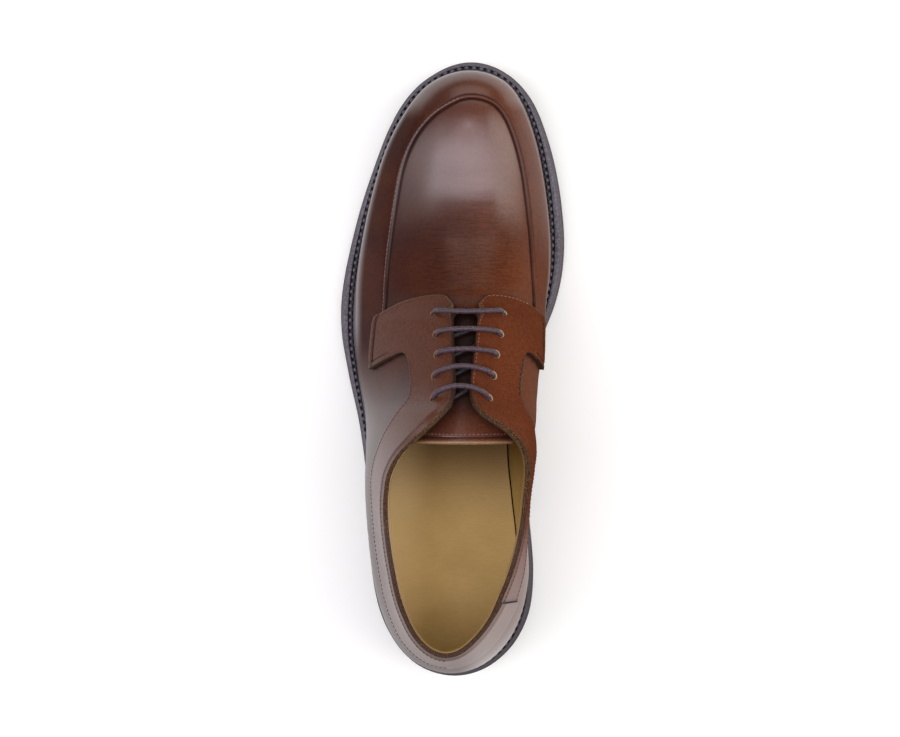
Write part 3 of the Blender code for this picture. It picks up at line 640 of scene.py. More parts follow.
# %% Grid of the shell
SHELL_TURNS = 200
SHELL_LOW = 34
SHELL_HIGH = 38
SHELL_THICKNESS = 1.3
SEAM_ROWS = np.array([-3.2, -2.3, -1.8, -1.55, -1.4, -1.25, -1.1, -0.95, -0.75, -0.5, -0.25, 0.0,
                      0.25, 0.5, 0.75, 0.95, 1.1, 1.25, 1.4, 1.55, 1.8, 2.3, 3.2])


def shell_turns(count):
    """Turns round the shoe, with extra ones at the round end of the throat."""
    even = FEATHER.station(np.linspace(0.0, math.pi, count + 1))
    throat = THROAT_ROUND + (THROAT_FRONT - THROAT_ROUND) * np.sin(np.linspace(0.0, math.pi / 2, 12))
    even = even[np.min(np.abs(even[:, None] - throat), axis=1) > 0.4]
    half = FEATHER.turn(np.sort(np.concatenate([even, throat])))
    half[0], half[-1] = 0.0, math.pi
    return np.concatenate([-half[::-1], half[1:]])


def join_spine(turn, share, spots, normals):
    """Make the two sides meet on the centre line of the vamp, where the upper is closed."""
    station = top_station(FEATHER.station(turn))
    closed = (opening(station) < 1e-6) & (share > 0.9999)
    mirrored = wall_normal(-turn, share)
    normals = np.where(closed[..., None], unit(normals + mirrored), normals)
    spots = spots.copy()
    spots[..., 0] = np.where(closed, edge_centre(spots[..., 1]), spots[..., 0])
    return spots, normals


print("rows beside the seam:", len(SEAM_ROWS))

# %% [markdown]
# Colour and shine follow the form: painted shade darkens the grooves, and a brush polishes what stands
# out. We could paint this by hand, but rules that use the distance from the seam and the place along the
# shoe fit any mesh. Their numbers go to the points as marks, which the material reads later.

# %% Shade and polish
VAMP_CENTRE = 9.0
TOE_POLISH = (195.0, 240.0)
DULL = 0.08


def seam_shade(x, distance):
    """Painted shade in the seam's two grooves and on its medial ridge; the lateral outer groove gets less."""
    groove = np.exp(-(((np.abs(distance) - GROOVE_AT) / 0.5) ** 2))
    outer = np.where(distance < 0, 0.45 + 0.55 * smooth_step(x, -18.0, 12.0), 1.0)
    ridge = 0.35 * smooth_step(x, 10.0, 25.0) * (np.abs(distance) < GROOVE_AT)
    return np.maximum(ridge, outer * groove)


def guard_polish(x, station, low):
    """Mudguard: bright before the toe and near the welt, softer on the medial side."""
    toe = 0.75 * smooth_step(station, 272.0, 284.0)
    medial = 0.33 * smooth_step(x, 22.0, 36.0) * smooth_step(station, *TOE_POLISH)
    rim_from = np.where(x > VAMP_CENTRE, 95.0, 150.0)
    rim = 0.9 * (1 - smooth_step(low, 0.36, 0.62)) * smooth_step(station - rim_from, 0.0, 30.0)
    return DULL + np.maximum(np.maximum(toe, medial), rim)


def apron_polish(x, station, distance, fade):
    """Apron: bright on the toe, softer along its sides, with a gloss on the seam's ridge."""
    beside = smooth_step(np.abs(x - VAMP_CENTRE), 14.0, 28.0) * (1 - smooth_step(station, 235.0, 262.0))
    field = (DULL + 0.82 * smooth_step(station, *TOE_POLISH)) * smooth_step(distance, 1.5, 2.6)
    ridge = (0.5 - 0.28 * smooth_step(x, -5.0, 30.0)) * np.clip(1.4 - 0.7 * np.abs(distance), 0.0, 1.0)
    return DULL + fade * (field * (1 - 0.45 * beside) + ridge - DULL * (np.abs(distance) < 1.5))


print("polish before the toe:", guard_polish(VAMP_CENTRE, SOLE_LENGTH, 1.0))

# %% [markdown]
# Now the shell itself: rows up to the seam, rows across its ridge, and rows on to the upper edge. A sheet
# that displaces itself with a modifier could make the ridge, but its rows would not lie along the seam.

# %% Leather shell
def make_shell():
    turn = shell_turns(SHELL_TURNS)
    side = np.where(turn < 0, LATERAL, MEDIAL)
    held = side * np.maximum(np.abs(turn), FEATHER.turn(RIDGE_FADE[0]))
    seam = share_at_seam(held)
    rate = np.linalg.norm(wall(turn, seam + 0.01) - wall(turn, seam - 0.01), axis=-1) / 0.02
    near = seam[:, None] + SEAM_ROWS / rate[:, None]
    low = near[:, :1] * np.linspace(0.0, 1.0, SHELL_LOW, endpoint=False)
    high = near[:, -1:] + (1.0 - near[:, -1:]) * np.linspace(0.0, 1.0, SHELL_HIGH + 1)[1:]
    share = np.concatenate([low, near, high], axis=1)
    turn = np.broadcast_to(turn[:, None], share.shape)
    distance = (share - seam[:, None]) * rate[:, None]
    spots = wall(turn, share)
    normals = wall_normal(turn, share)
    spots, normals = join_spine(turn, share, spots, normals)
    fade = smooth_step(FEATHER.station(turn), *RIDGE_FADE)
    lift = seam_profile(distance) * fade + creases(spots) + waves(spots)
    x, station = spots[..., 0], spots[..., 1]
    guard = guard_polish(x, station, share / seam[:, None])
    polish = np.where(distance < -2.0, guard, apron_polish(x, station, distance, fade))
    marks = {"shade": fade * seam_shade(x, distance), "polish": polish}
    faces = grid_faces(*share.shape)
    return thick_sheet("upper_shell", spots, normals, faces, -SHELL_THICKNESS, lift.reshape(-1), 0.3, marks)


shell = make_shell()
settle(shell, "upper_leather", "upper")

# %% [markdown]
# ## The facings and the collar band
#
# A derby is open-laced: two facings lie on top of the vamp and carry the eyelets. On this shoe each one is
# cut in one piece with a side tab and a band that runs back round the collar. We describe it by ribs: each
# rib goes from the lower seam to the upper edge, and the last few also go down to the hem of the tab.
# Splines between the ribs give a fine grid on the wall. On the medial side the band has a joint near the
# heel, a small step.

# %% Facing ribs
Rib = namedtuple("Rib", "foot foot_height head clear hem hem_height", defaults=(0, None, None))
FACING_RIBS = [
    Rib(6, 86.5, 6), Rib(12, 84.8, 12), Rib(22, 81.6, 22), Rib(36, 77.6, 36),
    Rib(52, 74.6, 52), Rib(68, 73.2, 68), Rib(84, 74.8, 84), Rib(98, 79.4, 98),
    Rib(111, 86.6, 109), Rib(122, 94.0, 117), Rib(131, 98.4, 123), Rib(139, 96.6, 129),
    Rib(147, 92.0, 136), Rib(155, 87.4, 145),
    Rib(160, 83.4, 154, 0, 151, 60.0), Rib(167, 77.8, 164, 0, 159, 58.8),
    Rib(174, 72.4, 174, 0, 167, 57.8), Rib(179.5, 68.0, 182.2, 6.4, 173, 57.2),
    Rib(182, 66.0, 185.5, 8.6, 176, 57.0),
]
LAST_RIB = len(FACING_RIBS) - 1
FIRST_TAB = min(number for number, rib in enumerate(FACING_RIBS) if rib.hem)
FRONT_BOW = 1.4
FRONT_ROUND = 1.1
TURN_PER_MM = float(FEATHER.turn(185.0) - FEATHER.turn(184.0))


class Facing:
    """Places on one facing: by rib number and share of the rib, on the band or on the tab below it."""

    def __init__(self, side):
        self.side = side
        number = np.arange(LAST_RIB + 1)
        tabs = FACING_RIBS[FIRST_TAB:]

        def listed(name, ribs=FACING_RIBS):
            return np.array([getattr(rib, name) for rib in ribs], float)

        foot = side * FEATHER.turn(listed("foot"))
        head = side * FEATHER.turn(listed("head"))
        hem = side * FEATHER.turn(listed("hem", tabs))
        foot_share = share_at_height(foot, listed("foot_height"))
        head_share = share_at_clear(head, listed("clear"))
        hem_share = share_at_height(hem, listed("hem_height", tabs))
        self.foot = Spline(number, foot), Spline(number, foot_share)
        self.head = Spline(number, head), Spline(number, head_share)
        self.hem = Spline(number[FIRST_TAB:], hem), Spline(number[FIRST_TAB:], hem_share)

    def band(self, rib, rise):
        """Turn and share on the band: rise is 0 at the lower seam and 1 at the upper edge."""
        turn, share = [foot(rib) * (1 - rise) + head(rib) * rise for foot, head in zip(self.foot, self.head)]
        bow = FRONT_BOW * 4 * rise * (1 - rise) - FRONT_ROUND * rise**16
        return [turn + self.side * bow * TURN_PER_MM * smooth_step(rib, LAST_RIB - 1.5, LAST_RIB), share]

    def tab(self, rib, rise):
        """Turn and share on the tab: rise is 0 at the hem and 1 at the band."""
        return [hem(rib) * (1 - rise) + foot(rib) * rise for hem, foot in zip(self.hem, self.foot)]


facings = {LATERAL: Facing(LATERAL), MEDIAL: Facing(MEDIAL)}
print("ribs:", len(FACING_RIBS), "tab from rib", FIRST_TAB)

# %% [markdown]
# The eyelets are plain punched holes. We cut them with small cylinders that stand square to the leather,
# through the facing and the shell below it; the inside of a hole is raw leather, so the cutters carry a mark
# named bare.

# %% Eyelets
Bar = namedtuple("Bar", "station lateral medial forward arch")
LACE_BARS = [
    Bar(176.8, 14.4, 16.9, -0.8, 6.4),
    Bar(167.2, 12.5, 15.8, 1.4, 6.2),
    Bar(157.7, 11.6, 14.3, 1.7, 6.0),
    Bar(147.7, 12.3, 13.2, 3.8, 5.8),
    Bar(137.0, 12.7, 11.6, 4.6, 5.6),
]
EYELET_RADIUS = 1.85
EYELET_CHAMFER = 0.3


def eyelet(bar, side):
    """Turn and share of one eyelet."""
    turn = side * FEATHER.turn(np.array(bar.station))
    clear = bar.lateral if side < 0 else bar.medial
    return turn, share_at_clear(turn, clear)


def eyelet_cutters(name, side):
    """One mesh of the punches for a facing's five holes, a little wider at the leather's surface."""
    profile = [(-5.0, 0.0), (-5.0, EYELET_RADIUS), (FACING_TOP - EYELET_CHAMFER, EYELET_RADIUS),
               (FACING_TOP + 0.8, EYELET_RADIUS + EYELET_CHAMFER + 0.8), (FACING_TOP + 0.8, 0.0)]
    angle = np.linspace(0.0, 2 * math.pi, 29)
    spots, faces = [], []
    for number, bar in enumerate(LACE_BARS):
        centre, normal = skin(*eyelet(bar, side), 0.0)
        wide = unit(np.cross((0.0, 1.0, 0.0), normal))
        tall = np.cross(normal, wide)
        ring = np.cos(angle)[:, None] * wide + np.sin(angle)[:, None] * tall
        turned = [centre + normal * height + ring * radius for height, radius in profile]
        faces.append(grid_faces(len(profile), len(angle), start=number * len(profile) * len(angle)))
        spots.append(np.concatenate(turned))
    spots = np.concatenate(spots)
    keep, rings = merge(spots, np.concatenate(faces))
    cutters = add_piece(name, spots[keep], rings, {"bare": np.ones(len(rings))})
    return round_edges(cutters, 0.0)


def combine(piece, tools, operation):
    """Apply exact Booleans one after another and drop the tools."""
    for tool in tools:
        change = piece.modifiers.new(tool.name, "BOOLEAN")
        change.object = tool
        change.operation = operation
        change.solver = "EXACT"
    bpy.context.view_layer.update()
    result = bpy.data.meshes.new_from_object(piece.evaluated_get(bpy.context.evaluated_depsgraph_get()))
    piece.modifiers.clear()
    piece.data = result
    for tool in tools:
        bpy.data.objects.remove(tool)


print("eyelets on each side:", len(LACE_BARS))

# %% [markdown]
# A facing is no plain rectangle: band, tab and the round corner between them meet at odd angles. One warped
# grid would stretch badly, so we lay several simple grids side by side that share the points of their
# borders. The hem of the tab is folded, which leaves a groove along it, darkened with painted shade.

# %% Grids of a facing
BAND_STEPS = 12
BAND_ROWS = 34
HEM_ROWS = np.array([0.0, 0.6, 1.4, 2.2, 2.7, 3.0, 3.3, 3.6, 3.9, 4.4, 5.2])
TAB_ROWS = 20
HEM_FOLD = 0.35
HEM_GROOVE = 3.3
REAR_GROOVE = 2.6
FILLET_BAND = 9
FILLET_TAB = 5
JOINT_RIB = 40 / BAND_STEPS
JOINT_STEP = 0.8
COLLAR_TAPER = 0.75
TAPER_FROM = 0.8
LACING_RIBS = (10.5, 12.5)


def collar_taper(rib, rise):
    """1 at the collar's edge, where the band is thinnest, and 0 below it and beside the lacing."""
    return smooth_step(rise, TAPER_FROM, 1.0) * (1 - smooth_step(rib, *LACING_RIBS))


def fillet(facing, ribs, rises):
    """Grid that rounds the inner corner between the band's lower seam and the tab's rear edge."""
    corner = FIRST_TAB * BAND_STEPS
    on_band = facing.band(ribs[corner - FILLET_BAND:corner + 1], 0.0)
    on_tab = facing.tab(np.full(FILLET_TAB, float(FIRST_TAB)), rises[::-1][1:FILLET_TAB + 1])
    share = np.linspace(0.0, 1.0, FILLET_BAND + FILLET_TAB + 1)
    towards = np.linspace(1.0, 0.0, 7)
    grid = []
    for band, tab in zip(on_band, on_tab):
        edge = np.concatenate([band, tab])
        arc = edge[0] * (1 - share) ** 2 + band[-1] * 2 * share * (1 - share) + edge[-1] * share**2
        grid.append(edge[:, None] + (arc - edge)[:, None] * towards)
    return grid


def hem_groove(distance):
    return np.exp(-((distance / 0.42) ** 2))


def facing_patches(side):
    """Grids of turn, share, height and shade that make up one facing, each with the side it lies on."""
    facing = facings[side]
    ribs = np.arange(LAST_RIB * BAND_STEPS + 1) / BAND_STEPS
    rises = np.linspace(0.0, 1.0, BAND_ROWS + 1)
    tab_ribs = ribs[FIRST_TAB * BAND_STEPS:, None]

    def band_grid(facing, ribs):
        taper = collar_taper(ribs[:, None], rises)
        lap = smooth_step(ribs, JOINT_RIB - 0.7, JOINT_RIB)[:, None] * (ribs[-1] <= JOINT_RIB)
        turn, share = facing.band(ribs[:, None], rises[None, :])
        height = FACING_TOP - COLLAR_TAPER * taper + JOINT_STEP * lap
        # Painted shade on the medial band just below the lap of the lateral band at the joint.
        shade_below_lap = (1 - smooth_step(ribs, JOINT_RIB, JOINT_RIB + 0.14))[:, None] * (ribs[0] >= JOINT_RIB)
        return facing.side, turn, share, height, np.broadcast_to(shade_below_lap, turn.shape)

    joint = int(round(JOINT_RIB * BAND_STEPS))
    patches = [band_grid(facing, ribs if side < 0 else ribs[joint:])]
    if side < 0:
        patches.append(band_grid(facings[MEDIAL], ribs[:joint + 1]))
    length = np.linalg.norm(wall(*facing.tab(tab_ribs, 1.0)) - wall(*facing.tab(tab_ribs, 0.0)), axis=-1)
    rest = HEM_ROWS[-1] + (length - HEM_ROWS[-1]) * np.linspace(0.0, 1.0, TAB_ROWS + 1)[1:]
    away = np.concatenate([np.broadcast_to(HEM_ROWS, (len(tab_ribs), len(HEM_ROWS))), rest], axis=1)
    turn, share = facing.tab(tab_ribs, away / length)
    spots = wall(turn, share)
    rear = np.linalg.norm(spots - spots[:1], axis=-1)
    free = 1 - smooth_step(away / length, 0.45, 0.7)
    # Painted shade: the grooves beside the folded hem and the rear edge are darkened.
    groove = np.maximum(hem_groove(away - HEM_GROOVE), hem_groove(rear - REAR_GROOVE) * free)
    fold = np.maximum(1 - smooth_step(away, HEM_GROOVE - 0.7, HEM_GROOVE),
                      (1 - smooth_step(rear, REAR_GROOVE - 0.7, REAR_GROOVE)) * free)
    patches.append((side, turn, share, FACING_TOP + HEM_FOLD * fold - 0.4 * groove, groove))
    turn, share = fillet(facing, ribs, (away / length)[0])
    patches.append((side, turn, share, np.full(turn.shape, FACING_TOP), np.zeros(turn.shape)))
    return patches


print("grids on the lateral facing:", len(facing_patches(LATERAL)))

# %% [markdown]
# Now the grids become leather. The holes are cut last, by exact Booleans, so that they go through both
# layers at the same place. Where the facings lie on the shell we darken it a little with painted shadow.

# %% Cut the facings
def make_facing(side, name):
    spots, normals, heights, shades, faces = [], [], [], [], []
    count = 0
    for patch_side, turn, share, height, shade in facing_patches(side):
        points, outward = skin(turn, share, 0.0)
        quads = grid_faces(*turn.shape, start=count)
        spots.append(points.reshape(-1, 3))
        normals.append(outward.reshape(-1, 3))
        heights.append(height.reshape(-1))
        shades.append(shade.reshape(-1))
        faces.append(quads if patch_side < 0 else quads[:, ::-1])
        count += turn.size
    piece = thick_sheet(name, np.concatenate(spots), np.concatenate(normals), np.concatenate(faces), 0.05,
                        np.concatenate(heights), 0.4, {"shade": np.concatenate(shades)})
    combine(piece, [eyelet_cutters(name + "_holes", side)], "DIFFERENCE")
    return piece


def shade_near(piece, others, reach):
    """Paint shade on a piece within a reach in millimetres of pieces that lie on it, as their painted shadow.
    """
    layer = piece.data.attributes["shade"]
    shade = np.zeros(len(piece.data.vertices), np.float32)
    layer.data.foreach_get("value", shade)
    for other in others:
        polygons = [tuple(face.vertices) for face in other.data.polygons]
        tree = BVHTree.FromPolygons([point.co for point in other.data.vertices], polygons)
        near = [tree.find_nearest(point.co, reach * MM)[3] for point in piece.data.vertices]
        close = [0.0 if away is None else 1.0 - away / (reach * MM) for away in near]
        shade = np.maximum(shade, np.array(close, np.float32))
    layer.data.foreach_set("value", shade)


facing_pieces = []
for side, node in ((LATERAL, "facing_lateral"), (MEDIAL, "facing_medial")):
    piece = make_facing(side, node + "_leather")
    settle(piece, "upper_leather", node)
    facing_pieces.append(piece)
    combine(shell, [eyelet_cutters("shell_holes", side)], "DIFFERENCE")
# Painted shadow: the shell is darkened along the outlines of the facings.
shade_near(shell, facing_pieces, 2.0)

# %% [markdown]
# ## Lining, sock and tongue
#
# Inside, the shoe is lined with smooth tan leather, and a plain sock of the same leather covers the insole.
# The lining is a thin sheet on the inner face of the wall, made by the wall function too. The sock fills
# the plan of the feather line and curls up a little at its edges, as a glued sock does.

# %% Lining and sock
LINING_THICKNESS = 0.85
SOCK_INSET = 2.4
SOCK_CURL = 0.9


def make_lining():
    turn = shell_turns(110)[:, None]
    share = np.linspace(0.0, 1.0, 41)[None, :]
    turn, share = np.broadcast_arrays(turn, share)
    spots = wall(turn, share)
    normals = wall_normal(turn, share)
    spots, normals = join_spine(turn, share, spots, normals)
    high = waves(spots) - SHELL_THICKNESS - 0.05
    low = high - LINING_THICKNESS
    faces = grid_faces(*turn.shape)
    return thick_sheet("lining", spots, normals, faces, low.reshape(-1), high.reshape(-1), 0.25)


def make_sock():
    """Leather sock over the insole, with edges that curl up a little against the lining."""
    turn = np.linspace(0.04, math.pi - 0.04, 150)
    left = FEATHER.point(-turn, SOCK_INSET)[:, None, :]
    right = FEATHER.point(turn, SOCK_INSET)[:, None, :]
    across = np.linspace(0.0, 1.0, 41)[None, :, None]
    plan = left * (1 - across) + right * across
    edge = np.abs(2 * across[..., 0] - 1) ** 10
    height = feather_height(plan[..., 1]) + INSOLE_RISE + SOCK_CURL * edge
    height = height + 0.12 * np.sin(plan[..., 0] / 7.0) * np.sin(plan[..., 1] / 11.0)
    spots = np.concatenate([plan, height[..., None]], axis=-1)
    normals = np.broadcast_to((0.0, 0.0, 1.0), spots.shape)
    faces = grid_faces(*height.shape)[:, ::-1]
    return thick_sheet("sock", spots, normals, faces, -4.4, 0.0, 0.3)


lining = make_lining()
settle(lining, "lining_leather")
sock = make_sock()
settle(sock, "lining_leather", "insole")

# %% [markdown]
# The tongue keeps the lace off the foot. It is a flap that lies under the facings, arched across and folded
# over at its end. A few sections describe it, each with a height and a droop at its edges; cloth simulation
# would give much the same form with more work.

# %% Tongue
Flap = namedtuple("Flap", "station height half_width droop centre")
TONGUE_FLAP = [
    Flap(117, 116.4, 23.5, 12.5, 9.6), Flap(124, 113.0, 23.0, 13.5, 9.6), Flap(135, 107.4, 22.0, 15.0, 9.4),
    Flap(150, 99.0, 20.5, 14.5, 9.2), Flap(166, 89.0, 18.5, 12.5, 9.4), Flap(181, 78.8, 16.5, 8.0, 9.5),
    Flap(192, 71.2, 15.0, 5.0, 9.5),
]
TONGUE_THICKNESS = 2.3
FOLD_AT = 2.6
flap = {name: column(TONGUE_FLAP, name) for name in ("height", "half_width", "droop", "centre")}


def tongue_top(x, station):
    """Height of the tongue's upper face."""
    share = (x - flap["centre"](station)) / flap["half_width"](station)
    return flap["height"](station) - flap["droop"](station) * share**2


def make_tongue():
    end = TONGUE_FLAP[0].station
    fine = end + np.arange(20) * 0.3
    rest = np.linspace(end + 6.0, TONGUE_FLAP[-1].station, 80)
    station = np.concatenate([fine, rest])[:, None]
    share = np.linspace(-1.0, 1.0, 61)[None, :]
    x = flap["centre"](station) + share * flap["half_width"](station)
    station = np.broadcast_to(station, x.shape)
    spots = np.stack([x, station, tongue_top(x, station)], axis=-1)
    along = np.gradient(spots, axis=0)
    over = np.gradient(spots, axis=1)
    normals = unit(np.cross(over, along))
    fold = np.exp(-(((station - end - FOLD_AT) / 0.5) ** 2))
    # Painted shade: a dark line in the fold and a darker tongue under the lacing, where facings and lace
    # shade it.
    marks = {"shade": np.maximum(0.8 * fold, 0.9 * smooth_step(station, 125.0, 140.0))}
    faces = grid_faces(*x.shape)[:, ::-1]
    high = -0.35 * fold.reshape(-1)
    return thick_sheet("tongue_flap", spots, normals, faces, -TONGUE_THICKNESS, high, 0.7, marks)


tongue = make_tongue()
settle(tongue, "tongue_leather", "tongue")

# %% [markdown]
# ## The lace
#
# A cord is a round tube along a line. A curve object with a bevel could make it, but its rings twist in
# sharp bends, so we carry each ring's direction along the path ourselves. The faces come from one small
# function, which serves stitches and blocks as well.

# %% Paths and tubes
def run_length(points):
    """Distance along a line of points, from the first of them to each."""
    return np.concatenate([[0.0], np.cumsum(np.linalg.norm(np.diff(points, axis=0), axis=1))])


def places_at(at, run, points):
    """Points of a line at given distances along it."""
    return np.stack([np.interp(at, run, points[:, axis]) for axis in range(3)], axis=-1)


def ring_faces(rings, sides):
    """Four-sided faces round a stack of closed rings of points."""
    index = np.arange(rings * sides).reshape(rings, sides)
    after = np.roll(index, -1, axis=1)
    return np.stack([index[:-1], after[:-1], after[1:], index[1:]], axis=-1).reshape(-1, 4)


def closed_faces(rings, sides):
    """The same faces with a cap on the first and the last ring."""
    last = (rings - 1) * sides
    caps = [list(range(sides))[::-1], list(range(last, last + sides))]
    return ring_faces(rings, sides).tolist() + caps


def smooth_path(points, spacing):
    """Evenly spaced points on a smooth curve through places in order."""
    points = np.asarray(points, float)
    length = run_length(points)
    fine = np.linspace(0.0, length[-1], int(length[-1] / spacing * 4))
    curve = np.stack([Spline(length, points[:, axis])(fine) for axis in range(3)], axis=-1)
    run = run_length(curve)
    even = np.linspace(0.0, run[-1], max(3, int(round(run[-1] / spacing)) + 1))
    return places_at(even, run, curve)


def frames_along(path):
    """Direction, side and up vectors along a path, carried without twist."""
    ahead = unit(np.gradient(path, axis=0))
    up = np.zeros_like(ahead)
    current = np.array([0.0, 0.31, 0.95])
    for number, direction in enumerate(ahead):
        current = unit(current - direction * np.dot(current, direction))
        up[number] = current
    return ahead, np.cross(ahead, up), up


def tube(path, radius, sides=14, strands=0, depth=0.0, pitch=6.0):
    """Points and faces of a round tube; strands that wind both ways swell it in a braid."""
    ahead, side, up = frames_along(path)
    wind = 2 * math.pi * run_length(path)[:, None] / pitch
    angle = np.linspace(0.0, 2 * math.pi, sides, endpoint=False)[None, :]
    braid = np.cos(strands * angle + wind) * np.cos(strands * angle - wind)
    size = (radius * (1 + depth * braid))[..., None]
    ring = side[:, None, :] * np.cos(angle)[..., None] + up[:, None, :] * np.sin(angle)[..., None]
    spots = path[:, None, :] + ring * size
    return spots.reshape(-1, 3), closed_faces(len(path), sides)


print("faces of a tube with 2 rings of 3 points:", len(closed_faces(2, 3)))

# %% [markdown]
# One round waxed lace closes the shoe in five straight bars. Each bar arches from eyelet to eyelet; at its
# ends the lace dives through the holes, and below the facings it crosses to the next pair. Both ends stop,
# hidden, at the top eyelets. We list the places that the lace passes, draw a smooth curve through them and
# sweep a tube along it. Round the tube the radius changes a little, as the strands of a braid make it do.

# %% Lace
UNDER = -(UPPER_WALL + LACE_RADIUS + 0.5)
OVER = FACING_TOP + GAP + LACE_RADIUS + 0.2
LACE_LEAN = 0.8
TONGUE_CLEAR = LACE_RADIUS + 0.3


def at_eyelet(bar, side, height):
    """A place of the lace at an eyelet, where it leans on the inner side of the hole."""
    turn, _ = eyelet(bar, side)
    clear = bar.lateral if side < 0 else bar.medial
    spot, _ = skin(turn, share_at_clear(turn, clear - LACE_LEAN), height)
    return spot


def bar_points(bar):
    """The visible bar: an arch between two eyelets."""
    left = at_eyelet(bar, LATERAL, OVER)
    right = at_eyelet(bar, MEDIAL, OVER)
    middle = np.array(bar.station + bar.forward)
    crest = (upper_edge(LATERAL, middle)[2] + upper_edge(MEDIAL, middle)[2]) / 2 + bar.arch
    rise = np.array([0.0, bar.forward, crest - (left[2] + right[2]) / 2])
    share = np.linspace(0.07, 0.93, 13)[:, None]
    return left * (1 - share) + right * share + rise * (4 * share * (1 - share))


def hidden_run(start, end):
    """A run below the facings that rests on the tongue."""
    share = np.linspace(0.12, 0.88, 9)[:, None]
    run = start * (1 - share) + end * share
    run[:, 2] = np.maximum(run[:, 2], tongue_top(run[:, 0], run[:, 1]) + TONGUE_CLEAR)
    return run


def lace_route():
    places = []
    for bar in reversed(LACE_BARS):
        turn, _ = eyelet(bar, LATERAL)
        aside = share_at_clear(turn, bar.lateral + 4.2)
        spot, _ = skin(turn, aside, UNDER)
        places.append(spot)
    last = None
    for bar in LACE_BARS:
        if last is not None:
            places.extend(hidden_run(last, at_eyelet(bar, LATERAL, UNDER)))
        places.extend(at_eyelet(bar, LATERAL, height) for height in (UNDER, -1.6, 0.6, 2.4))
        places.extend(bar_points(bar))
        places.extend(at_eyelet(bar, MEDIAL, height) for height in (2.4, 0.6, -1.6, UNDER))
        last = at_eyelet(bar, MEDIAL, UNDER)
    return smooth_path(places, 0.45)


def hidden_share(path):
    """Painted shade: 1 where the lace crosses the throat below the facings, 0 on the bars."""
    station = path[:, 1]
    level = upper_edge(LATERAL, station)[:, 2]
    inside = np.abs(path[:, 0] - edge_centre(station)) < 9.0
    return inside * (1 - smooth_step(path[:, 2] - level, 0.0, 2.0))


LACE_SIDES = 16
LACE_SLACK = 0.94
lace_path = lace_route()
lace_mesh = tube(lace_path, LACE_SLACK * LACE_RADIUS, sides=LACE_SIDES, strands=4, depth=0.05, pitch=5.2)
lace = add_piece("lace", *lace_mesh, None, {"shade": np.repeat(hidden_share(lace_path), LACE_SIDES)})
settle(lace, "lace_cord", *["lace_bar_" + str(number) for number in range(1, 6)])
print("lace route:", round(float(run_length(lace_path)[-1])), "mm")

# %% [markdown]
# ## Stitching
#
# A seam is a row of short stitches, each a bit of thread that dips into the leather at both ends. We make
# one stitch as a bent tube of a few rings and repeat it along a line with arrays, so hundreds of them are
# one mesh. An object for each stitch would be slow to draw and to export.

# %% One row of stitches
Row = namedtuple("Row", "spots ups")
STITCH_RINGS = 7


def stitches(row, pitch, length, radius, arch=0.55):
    """Points and faces of a row of stitches along a line of points with upward directions."""
    run = run_length(row.spots)
    count = max(1, int(run[-1] / pitch))
    at = (np.arange(count) + 0.5) * run[-1] / count
    centre = places_at(at, run, row.spots)
    ahead = places_at(at + 0.4, run, row.spots) - places_at(at - 0.4, run, row.spots)
    up = unit(places_at(at, run, row.ups))
    ahead = unit(ahead - up * np.sum(ahead * up, axis=-1, keepdims=True))
    side = np.cross(ahead, up)
    rings = np.linspace(-1.0, 1.0, STITCH_RINGS)
    angle = np.linspace(0.0, 2 * math.pi, STITCH_RINGS, endpoint=False)
    thick = radius * (1 - 0.45 * rings**4)
    forth = rings * length / 2
    rise = radius * (arch - 1.9 * rings**4)
    local = np.stack([
        np.broadcast_to(forth[:, None], (STITCH_RINGS, STITCH_RINGS)),
        thick[:, None] * np.cos(angle),
        rise[:, None] + thick[:, None] * np.sin(angle) * 0.8,
    ], axis=-1).reshape(-1, 3)
    axes = np.stack([ahead, side, up], axis=1)
    spots = centre[:, None, :] + np.einsum("kc,ncd->nkd", local, axes)
    quads = ring_faces(STITCH_RINGS, STITCH_RINGS)
    faces = (quads[None] + len(local) * np.arange(count)[:, None, None]).reshape(-1, 4)
    return spots.reshape(-1, 3), faces


def joined(name, parts):
    """One piece from several sets of points and faces."""
    spots, faces, count = [], [], 0
    for points, quads in parts:
        spots.append(points)
        faces.append(np.asarray(quads) + count)
        count += len(points)
    return add_piece(name, np.concatenate(spots), np.concatenate(faces).tolist())


print("faces in one stitch:", len(ring_faces(STITCH_RINGS, STITCH_RINGS)))

# %% [markdown]
# Light thread runs on the apron seam's lateral side, along the medial facing and across the end of the
# tongue. Dark thread, hard to see, holds the collar and the tabs, and a short black row closes the medial
# facing. Each row is a line on the wall, moved in from an edge by the distance at which a sewing machine's
# foot would guide it.

# %% Rows on the shoe
def apron_row():
    """A line along the top of the apron seam on the lateral side."""
    turn = LATERAL * np.linspace(FEATHER.turn(179.0), 0.965 * math.pi, 240)
    return Row(*skin(turn, share_at_seam(turn), RIDGE_HEIGHT))


def facing_line(place, rib, rise, across_rib=0.0, across_rise=0.0):
    """A line on a facing, moved in from its place by a distance along the ribs or across them."""
    rib = np.asarray(rib, float) + 0.0 * np.asarray(rise, float)
    rise = np.asarray(rise, float) + 0.0 * rib
    if across_rise:
        step = 0.02 * np.sign(across_rise)
        reach = wall(*place(rib, rise + step)) - wall(*place(rib, rise))
        rise = rise + across_rise * 0.02 / np.linalg.norm(reach, axis=-1)
    if across_rib:
        step = 0.05 * np.sign(across_rib)
        reach = wall(*place(rib + step, rise)) - wall(*place(rib, rise))
        rib = rib + across_rib * 0.05 / np.linalg.norm(reach, axis=-1)
    taper = collar_taper(rib, rise) * (place.__name__ == "band")
    return Row(*skin(*place(rib, rise), FACING_TOP - COLLAR_TAPER * taper))


